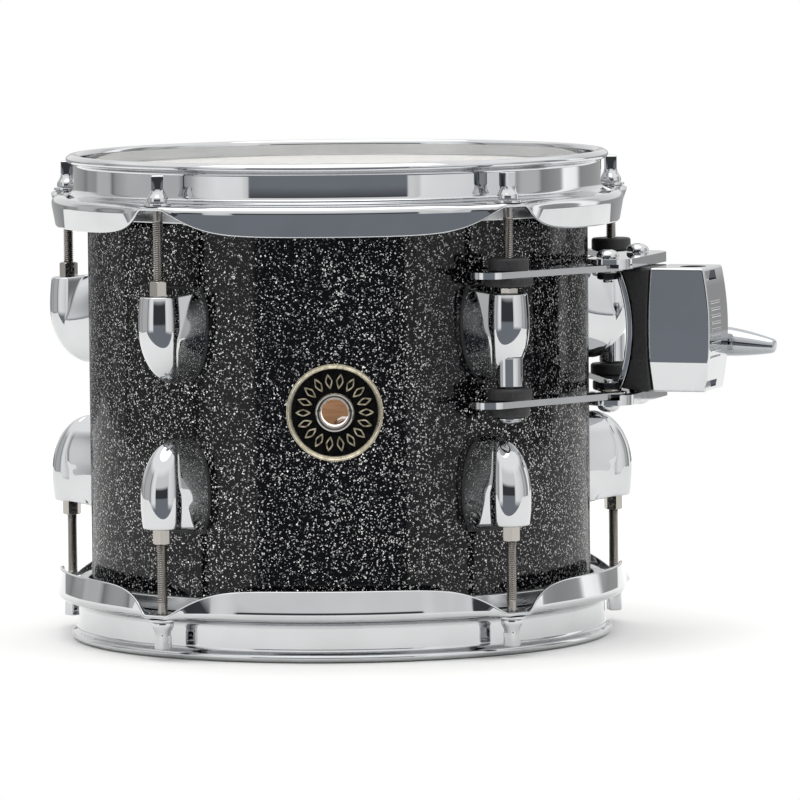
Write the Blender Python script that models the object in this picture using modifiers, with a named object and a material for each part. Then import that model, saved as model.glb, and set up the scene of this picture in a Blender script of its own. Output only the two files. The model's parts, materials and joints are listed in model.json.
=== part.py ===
"""A 10 x 9 inch tom drum with triple-flanged hoops and a side suspension mount.

Lengths are in millimetres and angles in degrees; MM turns lengths into metres where a mesh or a
location is made. The origin is the centre of the batter head's playing surface, +Z is up, and the
badge faces -Y. Heights inside the drum are measured from its mid-height plane, MID_Z.
Every station is an angle seen from the badge (0), positive towards +X.
"""
import bpy
import bmesh
from math import atan2, cos, exp, hypot, pi, radians, sin, sqrt

MM = 0.001
GAP = 0.3

# Shell, wrap and heads
DRUM_RADIUS = 126.0
WRAP_THICKNESS = 0.5
SHELL_THICKNESS = 6.2
HEAD_PLANE = 114.3
FILM_THICKNESS = 0.5
WRAP_HALF_HEIGHT = 109.6
MID_Z = -HEAD_PLANE
ROUND_SEGMENTS = 60

# Hoops
CREST = 121.95
WALL_INNER = 130.4
WALL_OUTER = 133.0
EAR_DEPTH = 20.6
EAR_UNDERSIDE = 22.9
EAR_HALF_ANGLE = 2.5
SCALLOP_SPREAD = 5.3
SCALLOP_POWER = 1.15
STATIONS_PER_SECTOR = 16

# Lugs, swivel nuts and tension rods
STATIONS = (-108, -36, 36, 108, 180)
SECTOR = 72
ROD_CIRCLE = 145.6
ROD_RADIUS = 2.62
ROD_HEAD_TOP = 116.55
ROD_FOOT = 40.0
KEY_HEAD_WIDTH = 6.35
EAR_HOLE_RADIUS = 3.4
LUG_FLAT_END = 57.05
LUG_LENGTH = 43.6
LUG_WIDEST_DROP = 14.9
LUG_NOSE = 9.7
LUG_TIP_SETBACK = 12.0
LUG_BARREL_HALF_WIDTH = 9.4
LUG_FOOT_HALF_WIDTH = 14.6
LUG_CREASE_DROP = 21.0
LUG_LEAN = 0.08
LUG_SEAT_RADIUS = 126.9
LUG_BORE_RADIUS = 5.5
LUG_BORE_DEPTH = 22.0
NUT_ACROSS_FLATS = 8.1
NUT_BORE = 2.95
NUT_LENGTH = 20.0
NUT_STAND_OUT = 7.5
SHORT_NUT_STAND_OUT = 2.9

# Badge and vent
BADGE_RADIUS = 23.9
BADGE_THICKNESS = 1.1
VENT_HOLE_RADIUS = 8.0
VENT_TUBE_RADIUS = 7.6
VENT_BORE_RADIUS = 6.7
VENT_FLANGE_RADIUS = 9.5

# Suspension mount, centred between the stations at 36 and 108 degrees
MOUNT_ANGLE = 72
MOUNT_STATIONS = (36, 108)
MOUNT_Z = 34.85
ARM_INNER_FACE = 30.1
ARM_THICKNESS = 3.2
ARM_HALF_WIDTH = 9.5
ARM_TAIL = 13.0
ARM_HOLE_RADIUS = 6.6
BOLT_RADIUS_FROM_AXIS = 150.0
BOLT_OFFSET = 25.5
BOLT_SHANK_RADIUS = 2.5
BOLT_HOLE_RADIUS = 2.9
BOLT_HEAD_RADIUS = 5.6
BOLT_HEAD_HEIGHT = 4.0
BOLT_NUT_RADIUS = 5.3
BOLT_NUT_HEIGHT = 5.0
FLANGE_CENTRE_RADIUS = 152.0
FLANGE_END_OFFSET = 28.0
FLANGE_END_RADIUS = 11.8
FLANGE_THICKNESS = 2.6
WEB_HALF_WIDTH = 15.5
WEB_THICKNESS = 2.5
WEB_OUTER_AT_MIDDLE = 159.3
WEB_OUTER_AT_FLANGE = 151.7
PAD_INNER = 159.6
PAD_THICKNESS = 7.8
BLOCK_HALF_WIDTH = 17.0
BLOCK_HALF_HEIGHT = 30.8
BLOCK_INNER = PAD_INNER + PAD_THICKNESS + GAP
BLOCK_OUTER_AT_ENDS = 196.4
BLOCK_CROWN = 3.2
SOCKET_RADIUS_FROM_AXIS = 186.5
SOCKET_RADIUS = 6.6
CLAMP_Z = -7.8

# Suspension grommets: radius and height of each collar, from the arm outwards
UPPER_GROMMET = {"bore": 3.2, "above": (10.0, 6.2), "below": (12.0, 4.3)}
LOWER_GROMMET = {"bore": 3.4, "above": (11.0, 5.6), "below": (10.0, 4.9)}
GROMMET_NECK_RADIUS = 6.2

# Suspension stud under each lug of the mount, heights from the mid-height plane
STUD_RADIUS = 6.45
STUD_TOP = 25.6
STUD_SHOULDER = 11.0
STUD_SHANK_RADIUS = 3.0
CAP_NUT_RADIUS = 6.8
CAP_NUT_TOP = -3.9
CAP_NUT_HEIGHT = 3.2

# Clamp: an eyebolt around the socket, drawn by a lever handle on its shank
EYE_RADIUS = 10.4
EYE_HALF_HEIGHT = 3.8
POCKET_HALF_WIDTH = 10.9
POCKET_HALF_HEIGHT = 4.2
POCKET_BOTTOM = -13.0
SHANK_RADIUS = 3.0
SHANK_END = 38.0
HUB_RADIUS = 8.4
HUB_END = 39.5
HUB_BORE = 3.4
LEVER_OFFSET = 30.0
LEVER_LENGTH = 33.8
LEVER_DROOP = 5.0
LEVER_TIP_RADIUS = 3.0
LEVER_ROOT_RADIUS = 7.4

# Colour, metallic and roughness of each finish
FINISHES = {
    "chrome": ((0.62, 0.63, 0.65), 1.0, 0.06),
    "nickel": ((0.50, 0.47, 0.43), 1.0, 0.25),
    "thread_steel": ((0.20, 0.19, 0.18), 1.0, 0.35),
    "sparkle_wrap": ((0.015, 0.015, 0.017), 0.0, 0.12),
    "maple": ((0.55, 0.30, 0.15), 0.0, 0.45),
    "coated_film": ((0.78, 0.76, 0.72), 0.0, 0.55),
    "aluminium": ((0.66, 0.66, 0.67), 1.0, 0.35),
    "brass_badge": ((0.30, 0.25, 0.16), 1.0, 0.30),
    "rubber": ((0.02, 0.02, 0.02), 0.0, 0.60),
}


def clear_scene():
    for thing in list(bpy.data.objects):
        bpy.data.objects.remove(thing, do_unlink=True)


def new_collection(name):
    collection = bpy.data.collections.new(name)
    bpy.context.scene.collection.children.link(collection)
    return collection


def finish_material(node_name, finish):
    """Each node gets a material of its own in one of the shared finishes."""
    colour, metallic, roughness = FINISHES[finish]
    material = bpy.data.materials.new(f"{node_name}_{finish}")
    material.use_nodes = True
    shader = material.node_tree.nodes["Principled BSDF"]
    shader.inputs["Base Color"].default_value = (*colour, 1.0)
    shader.inputs["Metallic"].default_value = metallic
    shader.inputs["Roughness"].default_value = roughness
    return material


def place(thing, angle=0.0, radius=0.0, height=0.0, upside_down=False):
    """Put an object at a station: local X points outwards, local Y to larger angles."""
    across = radians(angle)
    thing.location = (radius * sin(across) * MM, -radius * cos(across) * MM, (MID_Z + height) * MM)
    thing.rotation_euler = (pi if upside_down else 0.0, 0.0, across - pi / 2)
    return thing


def add_part(name, mesh, finish):
    part = bpy.data.objects.new(name, mesh)
    parts.objects.link(part)
    part.data.materials.clear()
    part.data.materials.append(finish_material(name, finish))
    return part


def add_cutter(name, mesh):
    cutter = bpy.data.objects.new(name, mesh)
    cutters.objects.link(cutter)
    cutter.hide_render = True
    cutter.display_type = "WIRE"
    return cutter


def smooth(mesh, sharp_angle=35):
    mesh.shade_smooth()
    mesh.set_sharp_from_angle(angle=radians(sharp_angle))
    return mesh


def boolean(thing, tool, operation):
    step = thing.modifiers.new(f"{operation.lower()}_{tool.name}", "BOOLEAN")
    step.operation = operation
    step.object = tool
    step.solver = "EXACT"


def circle(radius, height, count, centre=(0.0, 0.0)):
    turn = 2 * pi / count
    return [(centre[0] + radius * cos(i * turn), centre[1] + radius * sin(i * turn), height)
            for i in range(count)]


def square(width, height, count):
    """A square ring whose points lie at the same angles as those of a circle."""
    ring = []
    for i in range(count):
        x, y = cos(2 * pi * i / count), sin(2 * pi * i / count)
        reach = width / 2 / max(abs(x), abs(y))
        ring.append((x * reach, y * reach, height))
    return ring


def hexagon(across_flats, height):
    return circle(across_flats / sqrt(3), height, 6)


def loft(name, rings, endless=False):
    """A solid through rings of equal point count; endless joins the last ring to the first."""
    form = bmesh.new()
    rows = [[form.verts.new((x * MM, y * MM, z * MM)) for x, y, z in ring] for ring in rings]
    count = len(rows[0])
    pairs = list(zip(rows, rows[1:]))
    if endless:
        pairs.append((rows[-1], rows[0]))
    for lower, upper in pairs:
        for i in range(count):
            j = (i + 1) % count
            form.faces.new((lower[i], lower[j], upper[j], upper[i]))
    if not endless:
        form.faces.new(rows[0])
        form.faces.new(rows[-1])
    bmesh.ops.recalc_face_normals(form, faces=form.faces)
    mesh = bpy.data.meshes.new(name)
    form.to_mesh(mesh)
    form.free()
    return smooth(mesh)


def turned(name, profile, finish, segments=ROUND_SEGMENTS, closed=False):
    """A turned solid: the profile of (radius, height) points runs down its outer side."""
    edges = [(i, i + 1) for i in range(len(profile) - 1)]
    if closed:
        edges.append((len(profile) - 1, 0))
    mesh = bpy.data.meshes.new(name)
    mesh.from_pydata([(radius * MM, 0.0, height * MM) for radius, height in profile], edges, [])
    part = add_part(name, mesh, finish)
    screw = part.modifiers.new("turn", "SCREW")
    screw.steps = segments
    screw.render_steps = segments
    screw.use_merge_vertices = True
    screw.merge_threshold = 0.00001
    screw.use_smooth_shade = True
    return part


def baked(thing):
    """The evaluated mesh of a helper object, which is then removed."""
    bpy.context.view_layer.update()
    seen = thing.evaluated_get(bpy.context.evaluated_depsgraph_get())
    mesh = bpy.data.meshes.new_from_object(seen)
    bpy.data.objects.remove(thing, do_unlink=True)
    return mesh


def plate(name, outlines, low, high):
    """A flat plate between two heights, from its outline and the outlines of its holes."""
    curve = bpy.data.curves.new(name, "CURVE")
    curve.dimensions = "2D"
    curve.fill_mode = "BOTH"
    curve.extrude = (high - low) / 2 * MM
    for outline in outlines:
        spline = curve.splines.new("POLY")
        spline.points.add(len(outline) - 1)
        for point, (x, y) in zip(spline.points, outline):
            point.co = (x * MM, y * MM, 0.0, 1.0)
        spline.use_cyclic_u = True
    helper = bpy.data.objects.new(name, curve)
    cutters.objects.link(helper)
    mesh = baked(helper)
    bpy.data.curves.remove(curve)
    form = bmesh.new()
    form.from_mesh(mesh)
    bmesh.ops.remove_doubles(form, verts=form.verts, dist=0.000001)
    bmesh.ops.translate(form, verts=form.verts, vec=(0.0, 0.0, (high + low) / 2 * MM))
    bmesh.ops.recalc_face_normals(form, faces=form.faces)
    form.to_mesh(mesh)
    form.free()
    return smooth(mesh)


def flat_circle(radius, centre, count):
    return [(x, y) for x, y, _ in circle(radius, 0.0, count, centre)]


def stadium(start, end, radius, count=8):
    """The outline of a bar with round ends between two points."""
    heading = atan2(end[1] - start[1], end[0] - start[0])
    outline = []
    for centre, first in ((start, heading + pi / 2), (end, heading - pi / 2)):
        for i in range(count + 1):
            bearing = first + pi * i / count
            outline.append((centre[0] + radius * cos(bearing), centre[1] + radius * sin(bearing)))
    return outline


def make_shell():
    outer = DRUM_RADIUS - WRAP_THICKNESS - GAP
    inner = outer - SHELL_THICKNESS
    edge = HEAD_PLANE - FILM_THICKNESS - GAP
    peak = outer - 2.4
    lip = edge - 2.6
    profile = [(inner, edge - 2.2), (peak, edge), (outer, lip), (outer, -lip),
               (peak, -edge), (inner, -edge + 2.2)]
    shell = turned("shell", profile, "maple", closed=True)
    boolean(place(shell), vent_cutter, "DIFFERENCE")


def make_wrap():
    inner = DRUM_RADIUS - WRAP_THICKNESS
    profile = [(inner, WRAP_HALF_HEIGHT), (DRUM_RADIUS, WRAP_HALF_HEIGHT),
               (DRUM_RADIUS, -WRAP_HALF_HEIGHT), (inner, -WRAP_HALF_HEIGHT)]
    wrap = turned("wrap", profile, "sparkle_wrap", closed=True)
    boolean(place(wrap), vent_cutter, "DIFFERENCE")


def make_vent_cutter():
    rings = [[(DRUM_RADIUS + offset, y, z) for y, z, _ in circle(VENT_HOLE_RADIUS, 0.0, 24)]
             for offset in (-15.0, 15.0)]
    return place(add_cutter("vent_cutter", loft("vent_cutter", rings)))


def on_drum(radius, across, height):
    """A point at a distance across the front, measured round a cylinder of that radius."""
    bearing = across / radius
    return radius * cos(bearing), radius * sin(bearing), height


def make_badge():
    """A round plate bent to the shell, with a hole for the vent grommet."""
    back = DRUM_RADIUS + GAP
    front = back + BADGE_THICKNESS
    middle = (VENT_HOLE_RADIUS + BADGE_RADIUS) / 2
    spans = ((back, VENT_HOLE_RADIUS), (back, middle), (back, BADGE_RADIUS),
             (front, BADGE_RADIUS), (front, middle), (front, VENT_HOLE_RADIUS))
    rings = [[on_drum(radius, y, z) for y, z, _ in circle(reach, 0.0, 32)] for radius, reach in spans]
    place(add_part("badge", loft("badge", rings, endless=True), "brass_badge"))


def make_vent_grommet():
    seat = DRUM_RADIUS + 2 * GAP + BADGE_THICKNESS
    inside = DRUM_RADIUS - WRAP_THICKNESS - GAP - SHELL_THICKNESS - 2.0
    profile = ((inside, VENT_TUBE_RADIUS), (seat, VENT_TUBE_RADIUS), (seat, VENT_FLANGE_RADIUS),
               (seat + 0.8, VENT_FLANGE_RADIUS), (seat + 1.6, VENT_FLANGE_RADIUS - 1.0),
               (seat + 1.4, VENT_BORE_RADIUS + 0.6), (seat, VENT_BORE_RADIUS),
               (inside, VENT_BORE_RADIUS))
    rings = [[(x, y, z) for y, z, _ in circle(radius, 0.0, 24)] for x, radius in profile]
    place(add_part("vent_grommet", loft("vent_grommet", rings, endless=True), "nickel"))


def make_head(side, upside_down):
    """Film and flesh hoop; the film turns down over the bearing edge into the flesh hoop."""
    top = HEAD_PLANE
    low = top - FILM_THICKNESS
    film_foot = CREST - EAR_UNDERSIDE + GAP
    film = [(0.0, top), (123.3, top), (126.1, top - 1.7), (127.6, top - 6.9), (129.2, film_foot),
            (128.6, film_foot), (127.0, low - 6.6), (125.6, low - 1.6), (123.1, low), (0.0, low)]
    place(turned(f"{side}_head_film", film, "coated_film"), upside_down=upside_down)
    hoop_top = CREST - EAR_UNDERSIDE - GAP
    hoop_foot = hoop_top - 6.8
    section = [(127.6, hoop_top), (132.2, hoop_top), (132.4, hoop_foot), (127.4, hoop_foot)]
    flesh = turned(f"{side}_flesh_hoop", section, "aluminium", closed=True)
    place(flesh, upside_down=upside_down)


def hoop_section(offset):
    """The hoop's cross-section at an angle from the nearest ear, as (radius, depth below crest)."""
    past_ear = max(abs(offset) - EAR_HALF_ANGLE, 0.0)
    ear = exp(-(past_ear / SCALLOP_SPREAD) ** SCALLOP_POWER)
    skirt_and_ear = (((142.9, 23.2), (146.0, EAR_DEPTH)), ((144.2, 28.2), (151.3, EAR_DEPTH)),
                     ((141.9, 35.9), (152.6, EAR_DEPTH + 1.0)), ((139.9, 35.5), (151.6, EAR_UNDERSIDE)),
                     ((141.8, 28.2), (147.5, EAR_UNDERSIDE)))
    blended = [(skirt[0] + (tab[0] - skirt[0]) * ear, skirt[1] + (tab[1] - skirt[1]) * ear)
               for skirt, tab in skirt_and_ear]
    rim = [(131.4, 0.0), (134.6, 0.0), (136.8, 1.7), (136.3, 3.6), (WALL_OUTER, 5.0),
           (WALL_OUTER, 18.0), (136.0, EAR_DEPTH)]
    return rim + blended + [(139.0, EAR_UNDERSIDE), (WALL_INNER, EAR_UNDERSIDE), (WALL_INNER, 1.4)]


def make_hoop(name, side):
    """A flanged hoop; side is +1 for the batter side and -1 for the resonant side."""
    rings = []
    half = STATIONS_PER_SECTOR // 2
    for station in STATIONS:
        for step in range(-half, half):
            share = step / half
            offset = SECTOR / 2 * abs(share) ** 1.6 * (1 if share > 0 else -1)
            bearing = radians(station + offset)
            rings.append([(r * sin(bearing), -r * cos(bearing), side * (CREST - depth))
                          for r, depth in hoop_section(offset)])
    hoop = add_part(name, loft(name, rings, endless=True), "chrome")
    hoop.location = (0.0, 0.0, MID_Z * MM)
    boolean(hoop, ear_cutter, "DIFFERENCE")


def make_ear_cutter():
    """Five upright rods that open the tension rod holes in both hoops."""
    form = bmesh.new()
    for station in STATIONS:
        bearing = radians(station)
        made = bmesh.ops.create_cone(form, cap_ends=True, segments=12, radius1=EAR_HOLE_RADIUS * MM,
                                     radius2=EAR_HOLE_RADIUS * MM, depth=2 * CREST * MM)
        bmesh.ops.translate(form, verts=made["verts"],
                            vec=(ROD_CIRCLE * sin(bearing) * MM, -ROD_CIRCLE * cos(bearing) * MM, 0.0))
    mesh = bpy.data.meshes.new("ear_cutter")
    form.to_mesh(mesh)
    form.free()
    cutter = add_cutter("ear_cutter", mesh)
    cutter.location = (0.0, 0.0, MID_Z * MM)
    return cutter


def lug_ring(drop):
    """One cross-section of a lug, a drop below its flat end, as (outwards, across, height) points.

    The barrel is widest a third of the way down and closes in a round tip. From its shoulders a
    flank runs in to a crease, which climbs from the shell to the barrel, and a concave flare runs
    from the crease to the foot. The rings lean, so the flat end reaches further next to the shell.
    """
    opening = max(1 - drop / LUG_WIDEST_DROP, 0.0) ** 2
    closing = max(drop - LUG_WIDEST_DROP, 0.0) / (LUG_LENGTH - LUG_WIDEST_DROP)
    fullness = sqrt(1 - closing ** 2)
    nose = LUG_NOSE * fullness - LUG_TIP_SETBACK * (1 - fullness) - 1.1 * opening
    barrel = LUG_BARREL_HALF_WIDTH * fullness - 0.9 * opening
    foot = LUG_FOOT_HALF_WIDTH * fullness ** 0.9 - 4.4 * opening
    waist_x = min(1.2, nose - 0.9 * barrel)
    climb = min(drop / LUG_CREASE_DROP, 1.0)
    crease_x = min(11.0 * climb ** 0.7 - 13.2, waist_x - 1.6)
    crease_y = barrel + 2.2 * (1 - climb ** 3)
    shoulder_x = max(-3.0, crease_x + 0.8) if waist_x > -2.0 else crease_x + 0.8
    floor = floor_x(foot)
    bend = (floor + 2.2, crease_y + 0.3 * (foot - crease_y))
    side = [flare_point((crease_x, crease_y), bend, (floor, foot), s) for s in (1.0, 0.65, 0.3, 0.0)]
    side += [(shoulder_x, barrel - 0.1), (waist_x, barrel)]
    for bearing in (60, 30):
        side.append((waist_x + (nose - waist_x) * cos(radians(bearing)), barrel * sin(radians(bearing))))
    ring = side + [(nose, 0.0)] + [(x, -y) for x, y in reversed(side)]
    ring.append((floor_x(0.0), 0.0))
    lean = LUG_LEAN * (1 - drop / LUG_LENGTH) ** 2
    return [(x, y, LUG_FLAT_END - drop + lean * (LUG_NOSE - x)) for x, y in ring]


def flare_point(start, bend, end, share):
    """A point on the curve that leaves start towards bend and arrives at end from it."""
    weights = ((1 - share) ** 2, 2 * share * (1 - share), share ** 2)
    return tuple(sum(w * p[i] for w, p in zip(weights, (start, bend, end))) for i in (0, 1))


def floor_x(across):
    """The shell side of a lug, seen from its rod axis."""
    return sqrt(LUG_SEAT_RADIUS ** 2 - across ** 2) - ROD_CIRCLE


def lug_mesh(name, with_stud_socket):
    drops = (0.0, 6.0, 13.0, 21.0, 28.0, 34.0, 38.5, 41.5, 43.2)
    form = bpy.data.objects.new(name, loft(name, [lug_ring(drop) for drop in drops]))
    cutters.objects.link(form)
    bore_foot = LUG_FLAT_END - LUG_BORE_DEPTH
    bore_mouth = LUG_FLAT_END + 5.0
    bore = [circle(LUG_BORE_RADIUS, bore_foot, 12), circle(LUG_BORE_RADIUS, bore_mouth, 12)]
    tools = [add_cutter("lug_bore", loft("lug_bore", bore))]
    if with_stud_socket:
        socket = [circle(STUD_RADIUS + GAP, height, 16) for height in (STUD_SHOULDER, STUD_TOP + GAP)]
        tools.append(add_cutter("stud_socket", loft("stud_socket", socket)))
    for tool in tools:
        boolean(form, tool, "DIFFERENCE")
    mesh = baked(form)
    for tool in tools:
        bpy.data.objects.remove(tool, do_unlink=True)
    return smooth(mesh)


def nut_mesh(name, stand_out):
    top = LUG_FLAT_END + stand_out
    foot = LUG_FLAT_END - NUT_LENGTH + NUT_STAND_OUT
    rings = [hexagon(NUT_ACROSS_FLATS, foot), hexagon(NUT_ACROSS_FLATS, top),
             hexagon(2 * NUT_BORE, top), hexagon(2 * NUT_BORE, foot)]
    return loft(name, rings, endless=True)


def rod_mesh(name):
    """A square-headed key rod: drive square, flared collar and shaft."""
    rings = [square(KEY_HEAD_WIDTH, ROD_HEAD_TOP, 12), square(KEY_HEAD_WIDTH, ROD_HEAD_TOP - 6.6, 12),
             circle(5.1, ROD_HEAD_TOP - 11.0, 12), circle(5.5, ROD_HEAD_TOP - 12.0, 12),
             circle(5.5, ROD_HEAD_TOP - 13.6, 12), circle(ROD_RADIUS, ROD_HEAD_TOP - 13.6, 12),
             circle(ROD_RADIUS, ROD_FOOT, 12)]
    return loft(name, rings)


def make_tension_hardware():
    """A lug, swivel nut and tension rod at each station of both heads."""
    for station in STATIONS:
        for side, upside_down in (("batter", False), ("resonant", True)):
            label = f"{side}_{station % 360:03d}"
            on_mount = station in MOUNT_STATIONS and side == "batter"
            lug = add_part(f"lug_{label}", lug_mesh(f"lug_{label}", on_mount), "chrome")
            stand_out = SHORT_NUT_STAND_OUT if on_mount else NUT_STAND_OUT
            nut = add_part(f"swivel_nut_{label}", nut_mesh(f"swivel_nut_{label}", stand_out), "nickel")
            rod = add_part(f"tension_rod_{label}", rod_mesh(f"tension_rod_{label}"), "thread_steel")
            for part in (lug, nut, rod):
                place(part, station, ROD_CIRCLE, 0.0, upside_down)


def arm_line(station):
    """Rod point and bolt point of an arm, seen from the mount's own axes."""
    away = radians(station - MOUNT_ANGLE)
    rod = (ROD_CIRCLE * cos(away), ROD_CIRCLE * sin(away))
    bolt = (BOLT_RADIUS_FROM_AXIS, BOLT_OFFSET if station > MOUNT_ANGLE else -BOLT_OFFSET)
    return rod, bolt


def make_arm(name, station, level):
    rod, bolt = arm_line(station)
    reach = hypot(bolt[0] - rod[0], bolt[1] - rod[1])
    tail = tuple(r - (b - r) / reach * ARM_TAIL for r, b in zip(rod, bolt))
    head = tuple(b - (b - r) / reach * 0.8 for r, b in zip(rod, bolt))
    outlines = [stadium(tail, head, ARM_HALF_WIDTH), flat_circle(ARM_HOLE_RADIUS, rod, 16),
                flat_circle(BOLT_HOLE_RADIUS, bolt, 12)]
    low = level * ARM_INNER_FACE if level > 0 else -ARM_INNER_FACE - ARM_THICKNESS
    mesh = plate(name, outlines, low, low + ARM_THICKNESS)
    place(add_part(name, mesh, "chrome"), MOUNT_ANGLE, 0.0, MOUNT_Z)


def make_arm_bolt(name, offset, level):
    """A button-head bolt through flange and arm with its nut on the inside."""
    seat = ARM_INNER_FACE + ARM_THICKNESS + 2 * GAP + FLANGE_THICKNESS
    crown = seat + BOLT_HEAD_HEIGHT
    nut_face = ARM_INNER_FACE - GAP
    sections = ((BOLT_HEAD_RADIUS * 0.45, crown), (BOLT_HEAD_RADIUS * 0.85, crown - 1.2),
                (BOLT_HEAD_RADIUS, seat + 1.0), (BOLT_HEAD_RADIUS, seat), (BOLT_SHANK_RADIUS, seat),
                (BOLT_SHANK_RADIUS, nut_face), (BOLT_NUT_RADIUS, nut_face),
                (BOLT_NUT_RADIUS, nut_face - BOLT_NUT_HEIGHT))
    centre = (BOLT_RADIUS_FROM_AXIS, offset)
    rings = [circle(radius, level * height, 12, centre) for radius, height in sections]
    place(add_part(name, loft(name, rings), "chrome"), MOUNT_ANGLE, 0.0, MOUNT_Z)


def make_grommet(name, station, level, sizes):
    """A rubber bobbin: a collar on each face of the arm and a neck through it."""
    top = level * (ARM_INNER_FACE + ARM_THICKNESS / 2) + ARM_THICKNESS / 2
    foot = top - ARM_THICKNESS
    (upper_radius, upper_height), (lower_radius, lower_height) = sizes["above"], sizes["below"]
    upper_face, lower_face = top + GAP, foot - GAP
    sections = ((upper_radius, upper_face + upper_height), (upper_radius, upper_face),
                (GROMMET_NECK_RADIUS, upper_face), (GROMMET_NECK_RADIUS, lower_face),
                (lower_radius, lower_face), (lower_radius, lower_face - lower_height),
                (sizes["bore"], lower_face - lower_height), (sizes["bore"], upper_face + upper_height))
    rings = [circle(radius, height, 16) for radius, height in sections]
    mesh = loft(name, rings, endless=True)
    place(add_part(name, mesh, "rubber"), station, ROD_CIRCLE, MOUNT_Z)


def make_stud(name, station):
    """A stud from the lug's round end down through the lower arm, closed by a cap nut."""
    profile = [(0.0, STUD_TOP), (STUD_RADIUS, STUD_TOP), (STUD_RADIUS, STUD_SHOULDER),
               (STUD_SHANK_RADIUS, STUD_SHOULDER), (STUD_SHANK_RADIUS, CAP_NUT_TOP),
               (CAP_NUT_RADIUS, CAP_NUT_TOP), (CAP_NUT_RADIUS, CAP_NUT_TOP - 1.4),
               (CAP_NUT_RADIUS * 0.6, CAP_NUT_TOP - CAP_NUT_HEIGHT), (0.0, CAP_NUT_TOP - CAP_NUT_HEIGHT)]
    place(turned(name, profile, "chrome", segments=16), station, ROD_CIRCLE)


def web_outer(height):
    share = height / (ARM_INNER_FACE + ARM_THICKNESS)
    return WEB_OUTER_AT_MIDDLE - (WEB_OUTER_AT_MIDDLE - WEB_OUTER_AT_FLANGE) * share ** 2


def make_bracket():
    """Two bean-shaped flanges joined by a web that bows outwards."""
    inner = ARM_INNER_FACE + ARM_THICKNESS + GAP
    outer = inner + FLANGE_THICKNESS
    rings = []
    for step in range(-5, 6):
        height = step / 5 * (inner + FLANGE_THICKNESS / 2)
        face = web_outer(height)
        back = face - WEB_THICKNESS
        rings.append([(back, -WEB_HALF_WIDTH, height), (face, -WEB_HALF_WIDTH, height),
                      (face, WEB_HALF_WIDTH, height), (back, WEB_HALF_WIDTH, height)])
    bracket = add_part("mount_bracket", loft("mount_bracket", rings), "chrome")
    ends = [(FLANGE_CENTRE_RADIUS, -FLANGE_END_OFFSET), (FLANGE_CENTRE_RADIUS, FLANGE_END_OFFSET)]
    holes = [flat_circle(BOLT_HOLE_RADIUS, (BOLT_RADIUS_FROM_AXIS, side * BOLT_OFFSET), 12) for side in (-1, 1)]
    outlines = [stadium(ends[0], ends[1], FLANGE_END_RADIUS)] + holes
    for name, low in (("upper_flange", inner), ("lower_flange", -outer)):
        flange = add_cutter(name, plate(name, outlines, low, low + FLANGE_THICKNESS))
        place(flange, MOUNT_ANGLE, 0.0, MOUNT_Z)
        boolean(bracket, flange, "UNION")
    place(bracket, MOUNT_ANGLE, 0.0, MOUNT_Z)


def make_pad():
    low, high = -BLOCK_HALF_HEIGHT, BLOCK_HALF_HEIGHT
    corners = [(PAD_INNER, -BLOCK_HALF_WIDTH), (PAD_INNER + PAD_THICKNESS, -BLOCK_HALF_WIDTH),
               (PAD_INNER + PAD_THICKNESS, BLOCK_HALF_WIDTH), (PAD_INNER, BLOCK_HALF_WIDTH)]
    mesh = plate("mount_pad", [corners], low, high)
    place(add_part("mount_pad", mesh, "rubber"), MOUNT_ANGLE, 0.0, MOUNT_Z)


def box_mesh(name, low, high):
    """A box between two corners."""
    form = bmesh.new()
    bmesh.ops.create_cube(form, size=1.0)
    for corner in form.verts:
        corner.co = [(a if c < 0 else b) * MM for a, b, c in zip(low, high, corner.co)]
    mesh = bpy.data.meshes.new(name)
    form.to_mesh(mesh)
    form.free()
    return mesh


def make_block():
    """Clamp block: crowned outer face, upright socket and a pocket for the eyebolt."""
    rings = []
    for step in range(-4, 5):
        height = step / 4 * BLOCK_HALF_HEIGHT
        face = BLOCK_OUTER_AT_ENDS + BLOCK_CROWN * (1 - (step / 4) ** 2)
        rings.append([(BLOCK_INNER, -BLOCK_HALF_WIDTH, height), (face, -BLOCK_HALF_WIDTH, height),
                      (face, BLOCK_HALF_WIDTH, height), (BLOCK_INNER, BLOCK_HALF_WIDTH, height)])
    block = add_part("mount_block", loft("mount_block", rings), "chrome")
    bevel = block.modifiers.new("rounded_edges", "BEVEL")
    bevel.width = 1.2 * MM
    bevel.segments = 2
    bevel.limit_method = "ANGLE"
    bevel.angle_limit = radians(60)
    centre = (SOCKET_RADIUS_FROM_AXIS, 0.0)
    socket = [circle(SOCKET_RADIUS, height, 20, centre) for height in (-BLOCK_HALF_HEIGHT - 5, BLOCK_HALF_HEIGHT + 5)]
    pocket_low = (SOCKET_RADIUS_FROM_AXIS - POCKET_HALF_WIDTH, POCKET_BOTTOM, CLAMP_Z - POCKET_HALF_HEIGHT)
    pocket_high = (SOCKET_RADIUS_FROM_AXIS + POCKET_HALF_WIDTH, BLOCK_HALF_WIDTH + 5, CLAMP_Z + POCKET_HALF_HEIGHT)
    for tool_mesh in (loft("socket_cutter", socket), box_mesh("pocket_cutter", pocket_low, pocket_high)):
        tool = place(add_cutter(tool_mesh.name, tool_mesh), MOUNT_ANGLE, 0.0, MOUNT_Z)
        boolean(block, tool, "DIFFERENCE")
    place(block, MOUNT_ANGLE, 0.0, MOUNT_Z)


def along_y(radius, start, end, count, centre_x=0.0):
    """A cylinder's two end rings on an axis parallel to local Y."""
    return [[(centre_x + x, y, z) for x, z, _ in circle(radius, 0.0, count)] for y in (start, end)]


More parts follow.
